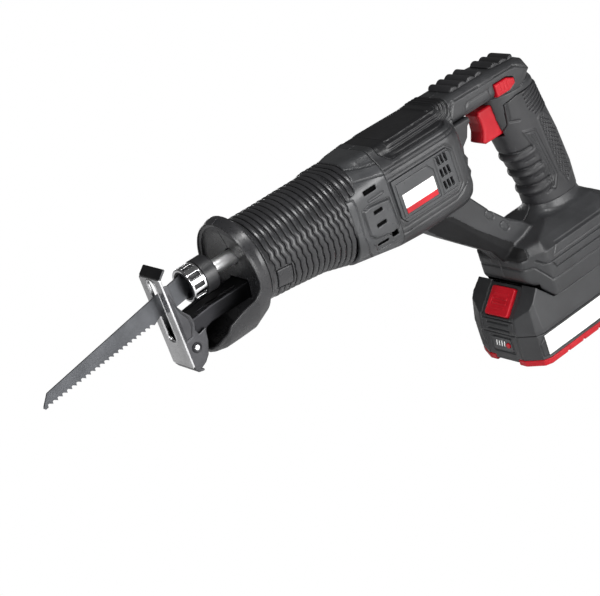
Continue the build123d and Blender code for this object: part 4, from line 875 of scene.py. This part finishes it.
def build_skid():
    """The red base of the battery with its finger notch and screw holes."""
    f = Field((266, -41, -210.5), (394, 0, -200), 0.55, mirrored=True)
    d = pack_shape(f, -209, -150, 1.6)
    notch = box(f, (255, -13.5, -220), (278, 13.5, -195), 1.2)
    d = cut(d, notch)
    for x in (300, 318, 336, 354, 372):
        d = engrave(d, np.maximum(np.abs(f.x - x) - 1.2, f.z + 206), 0.7)
    for x in (285, 375):
        d = cut(d, np.hypot(f.x - x, f.y + 30) - 2.9)
    d = np.maximum(d, f.z + 203.35)
    carve("battery_skid", f, d, RED, "battery_body", ["battery_base"])


def build_latch():
    """The red latch on the battery's sloping front, dished and ribbed for a thumb."""
    f = Field((264, -14, -171), (292, 0, -145), 0.35, mirrored=True)
    along, out = latch_axes(f)
    d = rounded(rounded(np.abs(along) - 12, np.abs(f.y) - 13.1, 2.2), np.maximum(-6.5 - out, out - 1.6), 0.8)
    dip = np.hypot(along, out - 22) - 20.9
    d = cut(d, np.maximum(dip, np.abs(f.y) - 9.5))
    for index in range(4):
        rib = np.maximum(np.abs(along + 6.0 - 4.0 * index) - 0.8, np.abs(f.y) - 8)
        d = np.minimum(d, rounded(rib, np.maximum(out - 1.9, -out), 0.4))
    carve("latch_red", f, d, RED, "latch_body", ["latch_button"])


# ---- controls
TRIGGER_OUTLINE = [(326, -4), (307.2, -4), (305.8, -7), (307, -14), (306.6, -21), (303.4, -28.6),
                   (306, -30.7), (326, -30.7)]


def build_trigger():
    """The red trigger, hollowed for the finger."""
    f = Field((300, -11, -35), (341, 0, 0), 0.3, mirrored=True)
    d = rounded(side(f, TRIGGER_OUTLINE), np.abs(f.y) - 8.4, 2.0)
    d = np.minimum(d, box(f, (326, -9.0, -31.8), (329.5, 9.0, -0.5), 0.4))
    d = np.minimum(d, rounded(np.hypot(f.y, f.z + 16) - 2.5, np.abs(f.x - 334) - 5.5, 0.4))
    rib = np.abs(np.abs(f.y) - 5.6) - 0.3
    d = engrave(d, np.maximum(rib, f.x - 309), 0.35)
    carve("trigger_red", f, d, RED, "trigger_body", ["trigger"])


def build_lock():
    """The ridged red bar that locks the trigger."""
    f = Field((319, -22, 1.5), (343, 0, 15), 0.35, mirrored=True)
    outline = side(f, LOCK_OUTLINE) + 0.4
    d = rounded(outline, np.abs(f.y) - 20.4, 1.2)
    for index in range(3):
        rib = np.abs(f.x - 326 - 3.4 * index) - 0.45
        d = engrave(d, np.maximum(rib, 20 - np.abs(f.y)), 0.4)
    carve("lock_red", f, d, RED, "lock_body", ["lock_button"])


# ---- nose
SHOE_EAR = [(0, 14), (5.5, 12.5), (6, -5), (9, -10.5), (13, -15.5), (14, -22), (12.5, -27), (14, -31),
            (20.4, -29.4), (18.8, -38.8), (15, -48.4), (11, -52.3), (3, -56), (0, -51.7)]
SHOE_HALF = 13.4
HINGE = (8.4, -38.8)


def pin_radius(f):
    """Distance from the middle of the shoe's hinge pin."""
    return np.hypot(f.x - HINGE[0], f.z - HINGE[1])


def build_shoe():
    """The bright slotted face and the dark folded ears."""
    f = Field((-1.5, -15, -58), (22, 0, 25.5), 0.3, mirrored=True)
    face = rounded(np.abs(f.z + 16.15) - 35.55, np.abs(f.y) - SHOE_HALF, 1.5)
    plate = rounded(face, np.maximum(-f.x, f.x - 1.8), 0.3)
    slot = np.hypot(f.y, np.maximum(np.abs(f.z + 7.2) - 19.75, 0)) - 4.5
    plate = cut(plate, np.maximum(slot, f.x - 4))
    lip = np.maximum(np.abs(slot - 1.2) - 0.5, np.maximum(-0.5 - f.x, f.x - 1.0))
    plate = np.minimum(plate, rounded(lip, np.maximum(-0.45 - f.x, f.x - 1.2), 0.3))
    carve("shoe_face_plate", f, plate, STEEL, "shoe_body", ["shoe"])
    flap = line(f.x, f.z, [(0.9, 18.8), (6.6, 23.6)]) - 0.9
    foot = line(f.x, f.z, [(0.9, -51.0), (3.4, -55.2), (7, -56.1)]) - 0.9
    ends = rounded(np.minimum(flap, foot), np.abs(f.y) - SHOE_HALF, 0.5)
    ear = rounded(side(f, SHOE_EAR), np.maximum(np.abs(f.y) - SHOE_HALF, 11.6 - np.abs(f.y)), 0.4)
    d = np.minimum(ends, ear)
    d = cut(d, pin_radius(f) - 3.05)
    pressing = [(3, 6), (4.6, -2), (7, -10), (11, -17), (11, -24), (8, -30), (3, -31)]
    d = trace(f, d, pressing, 0.4, f.y + 12.4, 0.4)
    d = np.maximum(d, 1.0 - f.x)
    carve("shoe_ears", f, d, DARK_STEEL, "shoe_body", ["shoe"])


def build_pin():
    """The shoe's hinge pin with its bright centre."""
    f = Field((4, -15.2, -43.2), (13, 15.2, -34.4), 0.3)
    radius = pin_radius(f)
    d = rounded(radius - 2.95, np.abs(f.y) - 14.4, 0.4)
    d = np.minimum(d, rounded(radius - 3.9, np.maximum(13.5 - np.abs(f.y), np.abs(f.y) - 14.2), 0.2))
    d = engrave(d, np.maximum(np.abs(radius - 2.4) - 0.45, 14.0 - np.abs(f.y)), 0.5)
    piece = carve("hinge_pin", f, d, PAINTED, "housing", ["shoe_pivot_pin"])
    mark = np.maximum(radius - 1.9, 13.9 - np.abs(f.y))
    paint(piece, f, mark, CHROME)


COLLAR_SLOTS = 10
COLLAR_BORE = 10.9


def build_collar():
    """The chrome castellated collar round a dark core."""
    f = Field((22, -13.6, -13.6), (36, 13.6, 13.6), 0.3)
    radius = np.hypot(f.y, f.z)
    around = np.arctan2(f.y, f.z) / (2 * math.pi) * COLLAR_SLOTS
    sideways = np.abs((around % 1) - 0.5) * radius * 2 * math.pi / COLLAR_SLOTS
    d = rounded(radius - 13, np.maximum(23 - f.x, f.x - 35), 0.6)
    slot = np.maximum(sideways - 1.7, np.maximum(24.6 - f.x, f.x - 33.0))
    d = cut(d, np.maximum(slot, COLLAR_BORE - radius))
    d = cut(d, radius - COLLAR_BORE)
    carve("collar_chrome", f, d, CHROME, "collar_body", ["clamp_collar"])
    core = rounded(radius - 10.85, np.maximum(23.2 - f.x, f.x - 34.8), 0.2)
    core = cut(core, radius - 9.5)
    carve("collar_core", f, core, BLACK, "collar_body", ["clamp_collar"])


def build_gauge():
    """The dark charge gauge with its four pale ticks."""
    f = Field((266.8, -11.4, -197.6), (271, 11.4, -184.4), 0.3)
    face = rounded(np.abs(f.y) - 10.9, np.abs(f.z + 191) - 5.9, 1.2)
    d = rounded(face, np.maximum(267.7 - f.x, f.x - 270.2), 0.3)
    d = cut(d, np.hypot(f.y + 7.2, f.z + 191) - 2.5)
    carve("gauge_face", f, d, GREY, "battery_body", ["gauge_window"])
    ticks = FAR_OFF
    for index in range(4):
        y = -2.5 + 3.0 * index
        lean = (f.z + 191) * 0.25
        ticks = np.minimum(ticks, rounded(np.abs(f.y - y + lean) - 0.55, np.abs(f.z + 190.5) - 2.6, 0.2))
    d = np.maximum(ticks, np.maximum(267.45 - f.x, f.x - 268.2))
    carve("gauge_ticks", f, d, WHITE, "battery_body", ["gauge_window"])


def build_shoe_arm():
    """The dark channel that carries the shoe."""
    f = Field((1, -12, -46), (105, 0, -17), 0.4, mirrored=True)
    outline = [(2.6, -40), (4.2, -33.5), (9, -24), (14, -20), (33, -18), (104, -18), (104, -30), (28, -30),
               (23, -31.6), (17, -41), (12, -44.6), (6, -44.6)]
    hollow = [(0, -50), (0, -37), (7, -26.5), (15.5, -22.4), (33, -20.4), (100, -20.4), (100, -32), (28, -50)]
    d = rounded(side(f, outline), np.abs(f.y) - 11, 1.0)
    d = cut(d, rounded(side(f, hollow), np.abs(f.y) - 8.6, 0.8))
    ridge = np.maximum(np.abs(np.abs(f.y) - 5.5) - 0.9, np.abs(f.x - 36) - 22)
    d = engrave(d, np.maximum(ridge, -19.5 - f.z), 0.5)
    d = cut(d, pin_radius(f) - 3.0)
    carve("shoe_arm_dark", f, d, PAINTED, "housing", ["shoe_arm"])


KEPT = {
    WHITE: "battery_labels",
    RED: "gauge_button",
    DARK_STEEL: "case_screws motor_magnets motor_brushes clamp_body",
    ALUMINIUM: "gear_case gear_case_plate",
    STEEL: ("gear_case_screws motor_can motor_shaft rotor_core wobble_shaft driven_gear wobble_arm "
            "battery_screws"),
    BRONZE: "front_bush rear_bush",
    RUBBER: "rod_seal",
    CHROME: "drive_bearings wobble_race",
    BLACK: "motor_end_cap switch_module terminal_block cooling_fan clamp_ring",
    GREEN: "control_board battery_board",
    WIRE: "battery_leads motor_leads",
    COPPER: "terminal_blades rotor_windings commutator battery_clips",
    ROD: "plunger",
    BLADE_STEEL: "saw_blade",
    CELL: "battery_cells",
    GREY: "cell_holder",
}  # CAD nodes that are shown as they are


def build_everything():
    """Every piece of the saw."""
    build_housing()
    build_gear_cover()
    build_boot()
    build_top_cover()
    build_pads()
    build_grip_sleeve()
    build_guard_pad()
    build_side_panels()
    build_signs()
    build_lock()
    build_upper_case()
    build_lower_case()
    build_skid()
    build_latch()
    build_trigger()
    build_shoe()
    build_shoe_arm()
    build_pin()
    build_collar()
    build_gauge()
    for material, nodes in KEPT.items():
        for node in nodes.split():
            keep(node, material)


# ---- stage
LIGHTS = {  # place in metres, size in metres, power in watts
    "side_softbox": ((0.45, -1.0, 0.10), (0.9, 0.40), 11),
    "front_softbox": ((-0.9, -0.75, 0.30), (0.5, 0.5), 9),
    "top_softbox": ((0.12, -0.50, 1.0), (0.7, 0.14), 8.0),
    "far_softbox": ((0.45, 1.0, -0.30), (0.9, 0.35), 6),
}
LIT_POINT = Vector((0.17, 0, -0.05))
FLOOR_LEVEL = -210.2
FLOOR_HALF = 40000
SURROUND = 0.10                         # strength of the bright surround, except as the camera sees it


def area_light(name, place, size, power):
    """A soft light aimed at the saw."""
    data = bpy.data.lights.new(name, "AREA")
    data.shape = "RECTANGLE"
    data.size, data.size_y = size
    data.energy = power
    lamp = bpy.data.objects.new(name, data)
    bpy.context.collection.objects.link(lamp)
    lamp.location = place
    lamp.rotation_euler = (LIT_POINT - Vector(place)).to_track_quat("-Z", "Y").to_euler()


def build_stage():
    """A pale floor under the saw, soft lights and a bright surround."""
    floor_material, shader, add, link = new_material("pale_floor")
    place = add("ShaderNodeTexCoord")
    cloud = add("ShaderNodeTexNoise", Scale=3.0, Detail=3.0)
    link(place.outputs["Object"], cloud.inputs["Vector"])
    link(ramp(add, link, cloud.outputs["Fac"], 0.3, 0.7, 0.50, 0.62), shader.inputs["Roughness"])
    shader.inputs["Base Color"].default_value = (0.93, 0.93, 0.93, 1)
    rays = add("ShaderNodeLightPath")
    glow = add("ShaderNodeEmission")
    glow.inputs["Color"].default_value = (1, 1, 1, 1)
    mix = add("ShaderNodeMixShader")
    link(rays.outputs["Is Camera Ray"], mix.inputs["Fac"])
    link(shader.outputs["BSDF"], mix.inputs[1])
    link(glow.outputs["Emission"], mix.inputs[2])
    link(mix.outputs["Shader"], floor_material.node_tree.nodes["Material Output"].inputs["Surface"])
    corners = [(x * FLOOR_HALF, y * FLOOR_HALF, FLOOR_LEVEL) for x, y in ((-1, -1), (1, -1), (1, 1), (-1, 1))]
    floor = make_mesh("studio_floor", corners, [(0, 1, 2, 3)], floor_material, smooth=False)
    world = bpy.data.worlds.new("studio")
    bpy.context.scene.world = world
    world.use_nodes = True
    nodes = world.node_tree.nodes
    background = nodes["Background"]
    background.inputs["Color"].default_value = (1, 1, 1, 1)
    path = nodes.new("ShaderNodeLightPath")
    strength = nodes.new("ShaderNodeMapRange")
    strength.inputs["To Min"].default_value = SURROUND
    strength.inputs["To Max"].default_value = 1.0
    world.node_tree.links.new(path.outputs["Is Camera Ray"], strength.inputs["Value"])
    world.node_tree.links.new(strength.outputs["Result"], background.inputs["Strength"])
    for name, (place, size, power) in LIGHTS.items():
        area_light(name, place, size, power)
    view = bpy.context.scene.view_settings
    view.view_transform = "Standard"
    view.look = "None"


CAMERA_TURN = (-29.9, 23.4, 20.4)       # azimuth, elevation and roll in degrees
CAMERA_SHIFT = (157.9, 302.5)           # where the origin falls on a 600 x 596 picture
PICTURE_MIDDLE = (300, 298)
PICTURE_WIDTH = 600
SENSOR = 36
FOCAL = 1800.0                          # focal length in the same units
DISTANCE = 1242.0                       # millimetres from the camera to the origin's plane


def place_camera():
    """The camera of the original view."""
    azimuth, elevation, roll = [math.radians(angle) for angle in CAMERA_TURN]
    back = Vector((math.sin(azimuth) * math.cos(elevation), -math.cos(azimuth) * math.cos(elevation),
                   math.sin(elevation)))
    level = Vector((math.cos(azimuth), math.sin(azimuth), 0))
    rise = back.cross(level)
    right = level * math.cos(roll) - rise * math.sin(roll)
    up = level * math.sin(roll) + rise * math.cos(roll)
    across = (CAMERA_SHIFT[0] - PICTURE_MIDDLE[0]) / FOCAL * DISTANCE
    down = (CAMERA_SHIFT[1] - PICTURE_MIDDLE[1]) / FOCAL * DISTANCE
    place = (back * DISTANCE - right * across + up * down) * MM
    data = bpy.data.cameras.new("camera")
    data.sensor_width = SENSOR
    data.lens = FOCAL * SENSOR / PICTURE_WIDTH
    data.clip_start = 0.05
    camera = bpy.data.objects.new("camera", data)
    bpy.context.collection.objects.link(camera)
    matrix = Matrix((right, up, back)).transposed().to_4x4()
    matrix.translation = place
    camera.matrix_world = matrix
    bpy.context.scene.camera = camera


build_everything()
build_stage()
place_camera()
